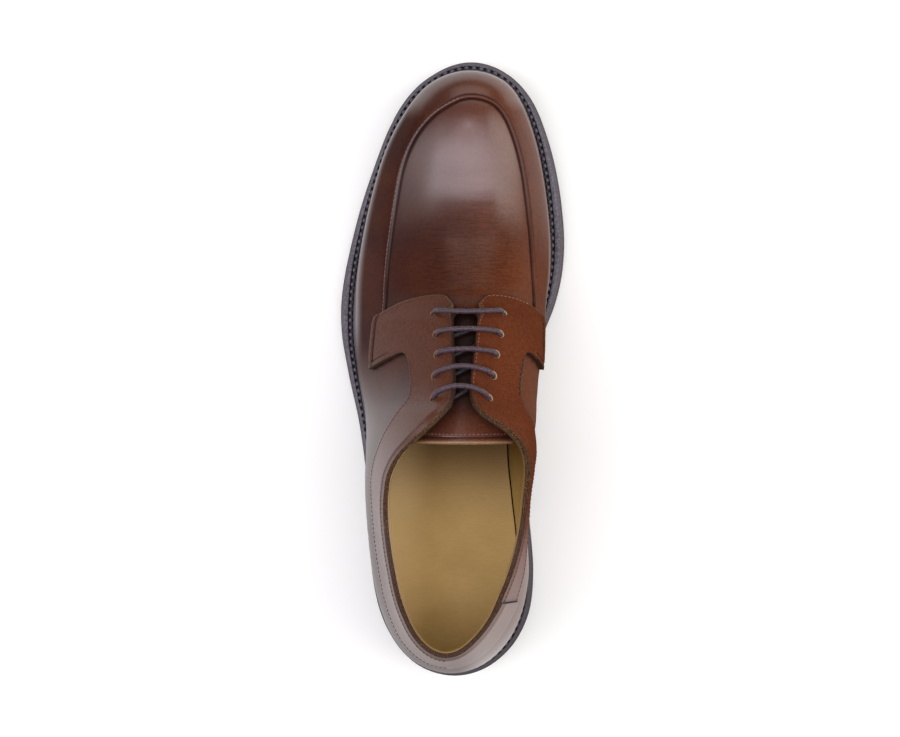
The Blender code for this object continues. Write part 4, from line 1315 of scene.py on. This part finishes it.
def facing_rows(side):
    """Light rows (throat and front edge) and dark rows (collar, tab and lower seam) of one facing."""
    facing = facings[side]
    start = 0.0 if side < 0 else JOINT_RIB
    every = np.linspace(0.0, 1.0, 120)
    tab_ribs = FIRST_TAB + 0.15 + (LAST_RIB - FIRST_TAB - 0.4) * every
    light = [
        facing_line(facing.band, 12.8 + (LAST_RIB - 13.6) * every, 1.0, across_rise=-1.2),
        facing_line(facing.band, LAST_RIB, 0.94 - 0.94 * every, across_rib=-1.0),
    ]
    dark = [
        facing_line(facing.tab, LAST_RIB, 1 - 0.96 * every, across_rib=-1.4),
        facing_line(facing.band, start + (12.5 - start) * every, 1.0, across_rise=-2.6),
        facing_line(facing.tab, tab_ribs, 0.0, across_rise=HEM_GROOVE),
        facing_line(facing.tab, FIRST_TAB, 0.06 + 0.7 * every, across_rib=1.4),
        facing_line(facing.band, start + (FIRST_TAB - 0.8 - start) * every, 0.0, across_rise=1.3),
    ]
    return light, dark


def tongue_row():
    x = np.linspace(-12.0, 31.0, 80)
    station = np.full_like(x, TONGUE_FLAP[0].station + FOLD_AT + 1.3)
    spots = np.stack([x, station, tongue_top(x, station)], axis=-1)
    return Row(spots, np.broadcast_to((0.0, 0.42, 0.9), spots.shape))


dark_rows = []
light_rows = [stitches(apron_row(), 2.2, 2.0, 0.2), stitches(tongue_row(), 2.0, 1.5, 0.22)]
black_rows = [stitches(facing_line(facings[MEDIAL].band, np.linspace(10.9, 13.2, 60), 0.0, across_rise=0.9),
                       2.3, 1.9, 0.6)]
for side in (LATERAL, MEDIAL):
    light, dark = facing_rows(side)
    if side > 0:
        light_rows += [stitches(row, 2.1, 1.4, 0.22) for row in light]
    else:
        dark += light
    dark_rows += [stitches(row, 2.1, 1.95, 0.15) for row in dark]
black_thread = joined("black_thread", black_rows)
settle(black_thread, "upper_leather")
dark_thread = joined("dark_thread", dark_rows)
light_thread = joined("light_thread", light_rows)
settle(dark_thread, "upper_leather")
settle(light_thread, "upper_leather")

# %% [markdown]
# ## The storm welt
#
# The welt is the strip that joins the upper to the sole. A storm welt has a lip that stands up against the
# upper and keeps water out; beside it lies a groove with the sole's stitches, then a flat ledge. We sweep
# its section round the shoe. Where the ledge is narrow, at the waist and the heel, the lip and the groove
# get narrower too.

# %% Welt
WELT_STEPS = 420
LIP_REACH = 2.4
GROOVE_REACH = 2.6


def welt_lines(steps):
    """Inner points, outward directions and reach of the welt round the shoe."""
    turn = np.linspace(-math.pi, math.pi, steps + 1)
    inner = FEATHER.point(turn)
    outer = SOLE.point(turn, WELT_SETBACK)
    reach = np.linalg.norm(outer - inner, axis=-1)
    return inner, (outer - inner) / reach[:, None], reach


def welt_spots(inner, out, far, rise):
    plan = inner + out * far[:, None]
    return np.concatenate([plan, (feather_height(plan[:, 1]) + rise)[:, None]], axis=-1)


def welt_parts(reach):
    """How far the lip and the groove reach out; both get narrower where the ledge does."""
    lip = np.minimum(LIP_REACH, 0.55 * reach)
    return lip, lip + np.minimum(GROOVE_REACH, 0.62 * (reach - lip))


def make_welt():
    inner, out, reach = welt_lines(WELT_STEPS)
    lip, groove = welt_parts(reach)
    # The third number of each point marks painted shade: the groove and the lip's sides come out nearly
    # black.
    section = [
        (reach, -WELT_THICKNESS, 0.8), (reach, -1.0, 0.8), (reach - 0.12, -0.6, 0.3),
        (reach - 0.35, -0.36, 0), (reach - 0.8, -0.28, 0),
        (groove + 0.25, -0.3, 0), (groove + 0.08, -0.4, 1), (groove, -0.5, 1),
        (groove - 0.2, -1.0, 1), (lip + 0.3, -1.1, 1), (lip + 0.05, -0.6, 1), (lip - 0.05, 0.5, 1),
        (lip - 0.2, 1.0, 0), (lip - 0.55, 1.3, 0), (lip - 0.95, 1.32, 0), (lip - 1.3, 1.05, 1),
        (0.2 * lip, 0.2, 1), (0.0 * lip, 0.0, 1), (0.0 * lip - 4.0, 0.0, 1),
        (0.0 * lip - 4.0, -WELT_THICKNESS, 1),
    ]
    section.append(section[0])
    spots = np.stack([welt_spots(inner, out, far, rise) for far, rise, _ in section], axis=1)
    marks = np.broadcast_to([float(mark) for _, _, mark in section], spots.shape[:2]).reshape(-1)
    keep, rings = merge(spots.reshape(-1, 3), grid_faces(*spots.shape[:2]))
    return add_piece("storm_welt", spots.reshape(-1, 3)[keep], rings, None, {"groove": marks[keep]})


def make_welt_stitches():
    inner, out, reach = welt_lines(WELT_STEPS * 2)
    lip, groove = welt_parts(reach)
    spots = welt_spots(inner, out, (lip + groove) / 2 + 0.1, np.full_like(lip, -0.9))
    ups = np.broadcast_to((0.0, 0.0, 1.0), spots.shape)
    return joined("welt_stitches", [stitches(Row(spots, ups), 3.6, 2.7, 0.9, arch=0.4)])


welt = make_welt()
settle(welt, "welt_rubber", "welt")
welt_thread = make_welt_stitches()
settle(welt_thread, "welt_rubber")

# %% [markdown]
# ## Midsole, outsole and heel
#
# Under the welt come a thin midsole, which shows as a lighter band, the outsole with its lugs, and the
# heel. Each layer follows the height of the feather line, which gives arch and toe spring at once. A plate
# is four curves along the shoe, joined by faces; extruding a flat outline would lose that curved side view.

# %% Sole layers
def midsole_top(station):
    return feather_height(station) - WELT_THICKNESS - GAP


def outsole_top(station):
    return midsole_top(station) - MIDSOLE_THICKNESS - GAP


def outsole_bottom(station):
    return outsole_top(station) - OUTSOLE_THICKNESS


def plate(name, inset, top, bottom, steps=150):
    """A plate with the sole's outline between two heights along the shoe."""
    turn = np.linspace(0.0, math.pi, steps + 1)
    left = SOLE.point(-turn, inset)
    right = SOLE.point(turn, inset)
    left[[0, -1]] = right[[0, -1]]
    corners = [(left, bottom), (left, top), (right, top), (right, bottom), (left, bottom)]
    rows = [np.concatenate([plan, level(plan[:, 1])[:, None]], axis=-1) for plan, level in corners]
    spots = np.stack(rows, axis=1)
    keep, rings = merge(spots.reshape(-1, 3), grid_faces(*spots.shape[:2]))
    return add_piece(name, spots.reshape(-1, 3)[keep], rings)


midsole = round_edges(plate("midsole_band", MIDSOLE_SETBACK, midsole_top,
                            lambda station: midsole_top(station) - MIDSOLE_THICKNESS), 0.45, angle=40.0)
settle(midsole, "midsole_rubber", "midsole")

# %% [markdown]
# The outsole is a rubber plate with lugs round its edge and down its middle, which grip the ground. In the
# mould they are one piece, so we make blocks from two short tables and join them to the plate with exact
# Booleans. Some blocks have a row of small teeth on their tread.

# %% Outsole with lugs
Lug = namedtuple("Lug", "start end teeth", defaults=(0,))
EDGE_LUGS = [
    Lug(144.5, 157.0, 5), Lug(166.0, 180.0), Lug(190.5, 202.0, 5), Lug(212.0, 223.5),
    Lug(235.0, 246.5), Lug(256.5, 267.0), Lug(274.5, 283.0, 4),
]
MIDDLE_LUGS = [Lug(158, 168), Lug(179, 189), Lug(200, 210), Lug(221, 231), Lug(243, 253), Lug(264, 273)]
EDGE_LUG_WIDTH = 15.0
MIDDLE_LUG_INSET = 24.0
TOOTH_DEPTH = 0.8
LUG_ROUND = 0.7
BALL = (160.0, 226.0)
Corner = namedtuple("Corner", "station height")
WAIST_STEP = [
    Corner(81.6, 24.0), Corner(81.6, 10.0), Corner(90.0, 10.0), Corner(97.0, 13.6), Corner(97.0, 24.0),
]
HEEL_BREAST = 81.0


def lug_bottom(station):
    """Tread height: flat on the floor under the ball, then up with the arch and the toe spring."""
    on_floor = (station >= BALL[0]) & (station <= BALL[1])
    return np.where(on_floor, 0.0, np.maximum(0.0, outsole_bottom(station) - LUG_DEPTH))


def loft(name, sections):
    """A closed block through sections of equal numbers of points."""
    sections = np.asarray(sections, float)
    return add_piece(name, sections.reshape(-1, 3), closed_faces(*sections.shape[:2]))


def lug_block(name, lug, left, right):
    """One lug between two curves along the shoe, with teeth on its tread if it has any."""
    steps = 2 * lug.teeth if lug.teeth else 6
    sections = []
    for number, station in enumerate(np.linspace(lug.start, lug.end, steps + 1)):
        tooth = TOOTH_DEPTH if lug.teeth and number % 2 else 0.0
        low = float(lug_bottom(station)) + tooth
        high = float(outsole_bottom(station)) + 1.5
        a, b = float(left(station)), float(right(station))
        sections.append([(a, station, low), (a, station, high), (b, station, high), (b, station, low)])
    return round_edges(loft(name, sections), LUG_ROUND, angle=70.0)


def make_outsole():
    outsole = round_edges(plate("lugged_outsole", 0.0, outsole_top, outsole_bottom), 0.6, angle=40.0)
    tools = []
    for side in (LATERAL, MEDIAL):
        for lug in EDGE_LUGS:
            def outer(station, side=side):
                return SOLE.x(side, station) - side * 0.5

            def inner(station, side=side):
                return SOLE.x(side, station) - side * (0.5 + EDGE_LUG_WIDTH)
            tools.append(lug_block("lug", lug, outer, inner))
    for lug in MIDDLE_LUGS:
        tools.append(lug_block("lug", lug, lambda station: SOLE.x(LATERAL, station) + MIDDLE_LUG_INSET,
                               lambda station: SOLE.x(MEDIAL, station) - MIDDLE_LUG_INSET))
    left = SOLE.x(LATERAL, HEEL_BREAST) + 1.5
    right = SOLE.x(MEDIAL, HEEL_BREAST) - 2.5
    roof = outsole_bottom(WAIST_STEP[-1].station) + 1.5
    step = loft("step", [[(x, c.station, min(c.height, roof)) for c in WAIST_STEP] for x in (left, right)])
    tools.append(round_edges(step, 0.5))
    combine(outsole, tools, "UNION")
    return outsole


outsole = make_outsole()
settle(outsole, "sole_rubber", "outsole")

# %% [markdown]
# The heel is a block that narrows a little downwards, with a chamfer at its breast and notches in its
# tread. A loft through four rings gives the block, and three wedges cut the notches. Bevels come last, so
# that the cuts are rounded too.

# %% Heel
HEEL_FLAT_END = 75.0
HEEL_CHAMFER = 2.5
HEEL_BAND = 3.4
NOTCH_LENGTH = 22.0
SIDE_NOTCH = [Corner(22, -1.0), Corner(29, 4.3), Corner(38.5, 4.3), Corner(50, -1.0)]
REAR_NOTCH = [Corner(-5, -1.0), Corner(14.5, -1.0), Corner(14.5, 4.6), Corner(8, 4.6), Corner(-5, 3.2)]


def heel_ring(height, inset, breast, steps=120):
    end = SOLE.turn(breast)
    spots = SOLE.point(np.linspace(-end, end, steps + 1), inset)
    spots[:, 1] = np.minimum(spots[:, 1], breast)
    return np.concatenate([spots, np.broadcast_to(height(spots[:, 1]), len(spots))[:, None]], axis=-1)


def make_heel():
    def top(station):
        return outsole_bottom(station) - 1.5 * GAP

    heel = loft("heel_block", [
        heel_ring(lambda station: 0.0, 1.4, HEEL_FLAT_END),
        heel_ring(lambda station: HEEL_CHAMFER, 1.2, HEEL_BREAST),
        heel_ring(lambda station: top(station) - HEEL_BAND, 0.2, HEEL_BREAST),
        heel_ring(top, 1.9, HEEL_BREAST),
    ])
    tools = []
    for side in (LATERAL, MEDIAL):
        reach = sorted((side * 60.0, float(SOLE.x(side, 36.0)) - side * NOTCH_LENGTH))
        tools.append(loft("notch", [[(x, c.station, c.height) for c in SIDE_NOTCH] for x in reach]))
    tools.append(loft("notch", [[(x, c.station, c.height) for c in REAR_NOTCH] for x in (-60.0, 60.0)]))
    for tool in tools:
        round_edges(tool, 0.0)
    round_edges(heel, 0.0)
    combine(heel, tools, "DIFFERENCE")
    return round_edges(heel, 0.45, angle=28.0)


heel = make_heel()
settle(heel, "sole_rubber", "heel")

# %% [markdown]
# ## Materials as expressions
#
# A material is a small network of nodes. To keep it readable we wrap a socket in a class with Python's
# operators: an expression such as 0.4 + 0.2 * grain then adds its Math nodes by itself. Any other node
# comes from one method that takes the node's type, its settings and what goes into its sockets.

# %% Sockets with operators
class Signal:
    """An output socket of a finish. Python's operators on it add Math nodes."""

    def __init__(self, finish, socket):
        self.finish = finish
        self.socket = socket

    def math(self, operation, first, second=0.0):
        sockets = {"Value": first, "Value_001": second}
        return self.finish.node("ShaderNodeMath", {"operation": operation}, sockets)

    def __add__(self, other):
        return self.math("ADD", self, other)

    def __sub__(self, other):
        return self.math("SUBTRACT", self, other)

    def __rsub__(self, other):
        return self.math("SUBTRACT", other, self)

    def __mul__(self, other):
        return self.math("MULTIPLY", self, other)

    __radd__ = __add__
    __rmul__ = __mul__

    def between(self, low, high):
        """A soft mask: 0 below low, 1 above high."""
        sockets = {"Value": self, "From Min": low, "From Max": high}
        return self.finish.node("ShaderNodeMapRange", {"interpolation_type": "SMOOTHSTEP"}, sockets)


def pick(sockets, key):
    """A socket by its number, identifier or name."""
    if isinstance(key, int):
        return sockets[key]
    for socket in sockets:
        if socket.identifier == key:
            return socket
    return sockets[key]


print("operators on sockets: +, - and *")

# %% [markdown]
# A finish is a material with one Principled shader. What is the same everywhere is set on the shader's own
# sockets, and only what changes from place to place gets nodes, which keeps the network small. One method
# makes any node, so a new texture needs a line and no new class.

# %% Finishes
class Finish:
    """A material: its constants are set on the shader, and nodes feed the sockets that vary."""

    def __init__(self, name, **constants):
        self.material = bpy.data.materials.new(name)
        self.material.use_nodes = True
        self.tree = self.material.node_tree
        self.shader = self.tree.nodes["Principled BSDF"]
        for key, value in constants.items():
            self.feed(self.shader.inputs[key.replace("_", " ").title().replace("Ior", "IOR")], value)

    def feed(self, socket, value):
        if isinstance(value, Signal):
            self.tree.links.new(value.socket, socket)
        elif isinstance(value, tuple) and len(value) == 3 and socket.type == "RGBA":
            socket.default_value = (*value, 1.0)
        else:
            socket.default_value = value

    def node(self, kind, settings=None, sockets=None, output=0):
        made = self.tree.nodes.new(kind)
        for key, value in (settings or {}).items():
            setattr(made, key, value)
        for key, value in (sockets or {}).items():
            self.feed(pick(made.inputs, key), value)
        return Signal(self, pick(made.outputs, output))

    def place(self):
        return self.node("ShaderNodeTexCoord", output="Object")

    def axis(self, name):
        """How far a place lies along one axis of the shoe, in metres."""
        return self.node("ShaderNodeSeparateXYZ", None, {"Vector": self.place()}, name)

    def stretched(self, across, along):
        """Places scaled by one number along the shoe and by another in the other directions."""
        sockets = {"Vector": self.place(), "Vector_001": (across, along, across)}
        return self.node("ShaderNodeVectorMath", {"operation": "MULTIPLY"}, sockets, "Vector")

    def mark(self, name):
        return self.node("ShaderNodeAttribute", {"attribute_name": name}, output="Fac")

    def noise(self, scale, detail=3.0, where=None):
        sockets = {"Vector": where or self.place(), "Scale": scale, "Detail": detail}
        return self.node("ShaderNodeTexNoise", None, sockets, "Fac")

    def cells(self, scale):
        sockets = {"Vector": self.place(), "Scale": scale}
        return self.node("ShaderNodeTexVoronoi", {"feature": "DISTANCE_TO_EDGE"}, sockets, "Distance")

    def mix(self, share, first, second):
        sockets = {"Factor_Float": share, "A_Color": first, "B_Color": second}
        return self.node("ShaderNodeMix", {"data_type": "RGBA"}, sockets, "Result_Color")

    def bump(self, height, distance, strength=1.0):
        sockets = {"Height": height, "Distance": distance, "Strength": strength}
        self.feed(self.shader.inputs["Normal"], self.node("ShaderNodeBump", None, sockets, "Normal"))

    def surface(self, colour, roughness):
        self.feed(self.shader.inputs["Base Color"], colour)
        self.feed(self.shader.inputs["Roughness"], roughness)

    def cover(self, *pieces):
        print(self.material.name, "covers", ", ".join(piece.name for piece in pieces))
        for piece in pieces:
            piece.data.materials.clear()
            piece.data.materials.append(self.material)


print("finish methods:", ", ".join(name for name in vars(Finish) if not name.startswith("_")))

# %% [markdown]
# ## Leather
#
# Full-grain calf has a fine pebble of pores and slow clouds of darker and redder dye. Its medial side is
# painted warmer and lighter, partly its dye and partly painted light. Its polish is a thin clear coat. A
# polished shoe is brightest on the toe and the quarters and dull where it bends, so the coat's weight follows
# the polish marks of the mesh and a mask along the shoe. Cut edges are dull and dark, with golden flecks of
# bare fibre.

# %% Leather finishes
def wrinkles(finish):
    """Fine wavy lines across the bend of the vamp, as a height between 0 and 1."""
    lines = finish.noise(1.0, 3.0, finish.stretched(150.0, 640.0)).between(0.3, 0.7)
    across = finish.axis("X")
    along = finish.axis("Y")
    zone = along.between(0.028, 0.048) * (1.0 - along.between(0.082, 0.1))
    zone = zone * across.between(-0.024, 0.0) * (1.0 - across.between(0.026, 0.04))
    return lines * zone


def sides(finish, shine_from):
    """Masks of the medial side, the shiny rear quarters, the flecked edge, and all in front of the lacing."""
    across = finish.axis("X")
    along = finish.axis("Y")
    medial = across.between(-0.02, 0.035)
    rear = 1.0 - (along + 0.062 * across.between(0.0, 0.03)).between(shine_from - 0.05, shine_from)
    heel = 1.0 - along.between(-0.15, -0.115)
    rear = rear * (0.74 - 0.34 * heel + 0.6 * heel * across.between(0.004, 0.02))
    front = along.between(0.022, 0.028)
    worn = 0.4 + 0.6 * along.between(-0.085, -0.05)
    flecked = worn * (1.0 - 0.7 * along.between(-0.024, -0.012) - 0.3 * front)
    return medial, rear, flecked, front


def leather(name, deep, warm, gloss, rub=0.55, wear_and_shade_width=0.9, raw_dark=(0.04, 0.022, 0.017),
            raw_light=(0.3, 0.17, 0.065), bare=(0.5, 0.34, 0.24), front_tan=0.5, shine_from=0.0,
            creased=False):
    finish = Finish(name, specular_ior_level=gloss, coat_roughness=0.28, coat_ior=1.8)
    medial, rear, flecked, front = sides(finish, shine_from)
    clouds = finish.noise(28.0, 4.0).between(0.35, 0.68)
    pores = finish.cells(900.0).between(0.0, 0.22)
    grain = finish.noise(480.0, 5.0)
    flecks = finish.noise(2600.0, 2.0).between(0.5, 0.7) * flecked * (1.0 - front) + front_tan * front
    edge = finish.mark("edge")
    raw = finish.mix(flecks, raw_dark, raw_light)
    # Near the border the colour turns raw: a worn edge, and on the facings also a painted shadow line.
    worn_and_shaded_border = 1.0 - finish.mark("border").between(0.1, wear_and_shade_width)
    # The medial side is painted warmer and lighter: partly the leather's dye, partly painted light.
    colour = finish.mix(0.25 * clouds + 0.75 * medial, deep, warm)
    colour = finish.mix(0.65 - 0.25 * pores - 0.55 * grain, colour, (0.012, 0.005, 0.003))
    height = 0.5 * pores + grain
    if creased:
        lines = wrinkles(finish)
        # Painted shade in the troughs of the wrinkles.
        colour = finish.mix(0.22 * lines, colour, (0.02, 0.008, 0.006))
        height = height - 6.0 * lines
    # Painted shade where the shade mark says: grooves, folds, under the joint's lap and along the facings.
    colour = finish.mix(finish.mark("shade") * 0.92, colour, (0.009, 0.005, 0.005))
    colour = finish.mix(worn_and_shaded_border * rub, colour, raw)
    colour = finish.mix(edge, colour, raw)
    colour = finish.mix(finish.mark("bare"), colour, bare)
    finish.surface(colour, 0.32 + 0.14 * grain + 0.3 * edge)
    shine = rear + finish.mark("polish")
    finish.feed(finish.shader.inputs["Coat Weight"], shine * (1.0 - 0.9 * edge))
    finish.bump(height, 0.00016, 0.8)
    return finish


upper_finish = leather("upper_leather", (0.047, 0.0155, 0.0120), (0.165, 0.047, 0.0168), 0.0, rub=0.2,
                       front_tan=0.0, shine_from=0.016, creased=True)
upper_finish.cover(shell)
lateral_finish = leather("lateral_leather", (0.1, 0.033, 0.018), (0.145, 0.044, 0.018), 0.12,
                         bare=(0.26, 0.15, 0.08))
lateral_finish.cover(facing_pieces[0])
leather("medial_leather", (0.08, 0.023, 0.012), (0.165, 0.0465, 0.019), 0.0).cover(facing_pieces[1])
tongue_finish = leather("tongue_leather", (0.095, 0.03, 0.017), (0.14, 0.044, 0.02), 0.2, rub=0.95,
                        wear_and_shade_width=1.5, raw_dark=(0.24, 0.14, 0.07), raw_light=(0.55, 0.37, 0.19))
tongue_finish.cover(tongue)

# %% [markdown]
# Lining leather is pale and nearly matt. Inside the shoe it is painted darker towards the tongue as shade,
# lighter on its lateral side as painted light, and dark as shade at its edges in the throat. The lace is
# waxed cotton with a little fluff. Thread is so thin that two shades and some grain are enough. Noise does
# all of this; painted textures would show no more at this size.

# %% Lining, lace and thread finishes
def lining_finish(name, light):
    """Tan lining with painted shade towards the tongue; light is the painted light on its lateral side."""
    finish = Finish(name, specular_ior_level=0.2)
    clouds = finish.noise(22.0, 3.0).between(0.3, 0.7)
    grain = finish.noise(700.0, 3.0)
    across = finish.axis("X")
    along = finish.axis("Y")
    streaks = finish.noise(1.0, 3.0, finish.stretched(300.0, 1500.0)).between(0.35, 0.7)
    colour = finish.mix(clouds, (0.44, 0.305, 0.095), (0.54, 0.39, 0.135))
    colour = finish.mix(0.09 * streaks, colour, (0.2, 0.12, 0.03))
    # Painted shade: darker towards the tongue, where little light falls inside the shoe.
    colour = finish.mix(along.between(-0.085, -0.025), colour, (0.13, 0.065, 0.013))
    # Painted light: the lateral side is painted lighter, as if lit from the medial side.
    colour = finish.mix(light * (1.0 - across.between(-0.032, -0.008)), colour, (0.9, 0.72, 0.38))
    colour = finish.mix(finish.mark("edge") * 0.75, colour, (0.12, 0.065, 0.025))
    # Painted shade: the edges in the throat are painted dark.
    colour = finish.mix(finish.mark("edge") * along.between(-0.045, -0.02), colour, (0.02, 0.012, 0.01))
    finish.surface(colour, 0.42 + 0.15 * grain)
    finish.bump(grain + streaks, 0.0001, 0.5)
    return finish


def lace_finish():
    finish = Finish("lace_cord", coat_weight=0.12, coat_roughness=0.35)
    grain = finish.noise(1500.0, 2.0)
    fluff = finish.noise(2600.0, 1.0).between(0.6, 0.72)
    colour = finish.mix(grain.between(0.35, 0.65), (0.024, 0.013, 0.018), (0.066, 0.036, 0.05))
    colour = finish.mix(0.4 * fluff, colour, (0.34, 0.25, 0.29))
    # Painted shade on the runs of lace under the facings.
    colour = finish.mix(0.85 * finish.mark("shade"), colour, (0.012, 0.009, 0.014))
    finish.surface(colour, 0.45 + 0.2 * grain)
    finish.bump(grain, 0.00016, 0.8)
    return finish


def thread_finish(name, dark, light, roughness):
    finish = Finish(name)
    grain = finish.noise(2400.0, 2.0)
    finish.surface(finish.mix(grain.between(0.3, 0.7), dark, light), roughness + 0.1 * grain)
    finish.bump(grain, 0.00008, 0.6)
    return finish


lining_finish("lining_leather", 0.85).cover(lining)
lining_finish("sock_leather", 0.4).cover(sock)
lace_finish().cover(lace)
thread_finish("dark_thread", (0.03, 0.011, 0.007), (0.06, 0.022, 0.014), 0.45).cover(dark_thread)
thread_finish("light_thread", (0.14, 0.06, 0.042), (0.27, 0.14, 0.105), 0.45).cover(light_thread)
thread_finish("black_thread", (0.012, 0.008, 0.008), (0.03, 0.018, 0.016), 0.5).cover(black_thread)
thread_finish("welt_thread", (0.06, 0.055, 0.07), (0.14, 0.129, 0.16), 0.4).cover(welt_thread)

# %% [markdown]
# ## Rubber
#
# The welt's ledge is a purple grey with a soft sheen beside a groove painted black as shade. The sole is
# moulded rubber, a browner grey with a fine matt grain, and all of it is painted darker towards the heel as
# shade. Noise at two scales gives clouds and speckle; an image would have to be wrapped round every lug.

# %% Rubber finishes
def rubber(name, dark, light, roughness, grain_scale, heel_painted_shade=0.0):
    finish = Finish(name, specular_ior_level=0.4)
    clouds = finish.noise(35.0, 4.0).between(0.3, 0.7)
    grain = finish.noise(grain_scale, 3.0)
    speckle = finish.noise(900.0, 3.0).between(0.4, 0.62)
    along = finish.axis("Y")
    colour = finish.mix(0.35 * clouds + 0.65 * speckle, dark, light)
    # Painted shade towards the heel.
    colour = finish.mix(heel_painted_shade * (1.0 - along.between(-0.115, -0.07)), colour, (0.02, 0.019, 0.023))
    # Painted shade: the welt's groove and the sides of its lip are nearly black.
    colour = finish.mix(finish.mark("groove"), colour, (0.008, 0.007, 0.009))
    finish.surface(colour, roughness + 0.15 * grain)
    finish.bump(grain, 0.00014, 0.6)
    return finish


rubber("welt_rubber", (0.06, 0.057, 0.071), (0.175, 0.167, 0.203), 0.45, 1300.0, 0.9).cover(welt)
rubber("midsole_rubber", (0.1, 0.092, 0.103), (0.15, 0.138, 0.153), 0.5, 900.0, 0.55).cover(midsole)
rubber("sole_rubber", (0.078, 0.067, 0.074), (0.118, 0.102, 0.112), 0.55, 800.0, 0.45).cover(outsole, heel)

# %% [markdown]
# The floor is white studio paper. A faint glow keeps it white and lifts the shadows under the sole, as the
# light that a real studio throws about would do.

# %% Floor finish
floor_finish = Finish("floor_white", roughness=0.85, specular_ior_level=0.1, emission_strength=0.15)
floor_finish.feed(floor_finish.shader.inputs["Emission Color"], (1.0, 1.0, 1.0))
floor_finish.feed(floor_finish.shader.inputs["Base Color"], (0.91, 0.955, 0.91))
floor_finish.cover(floor)
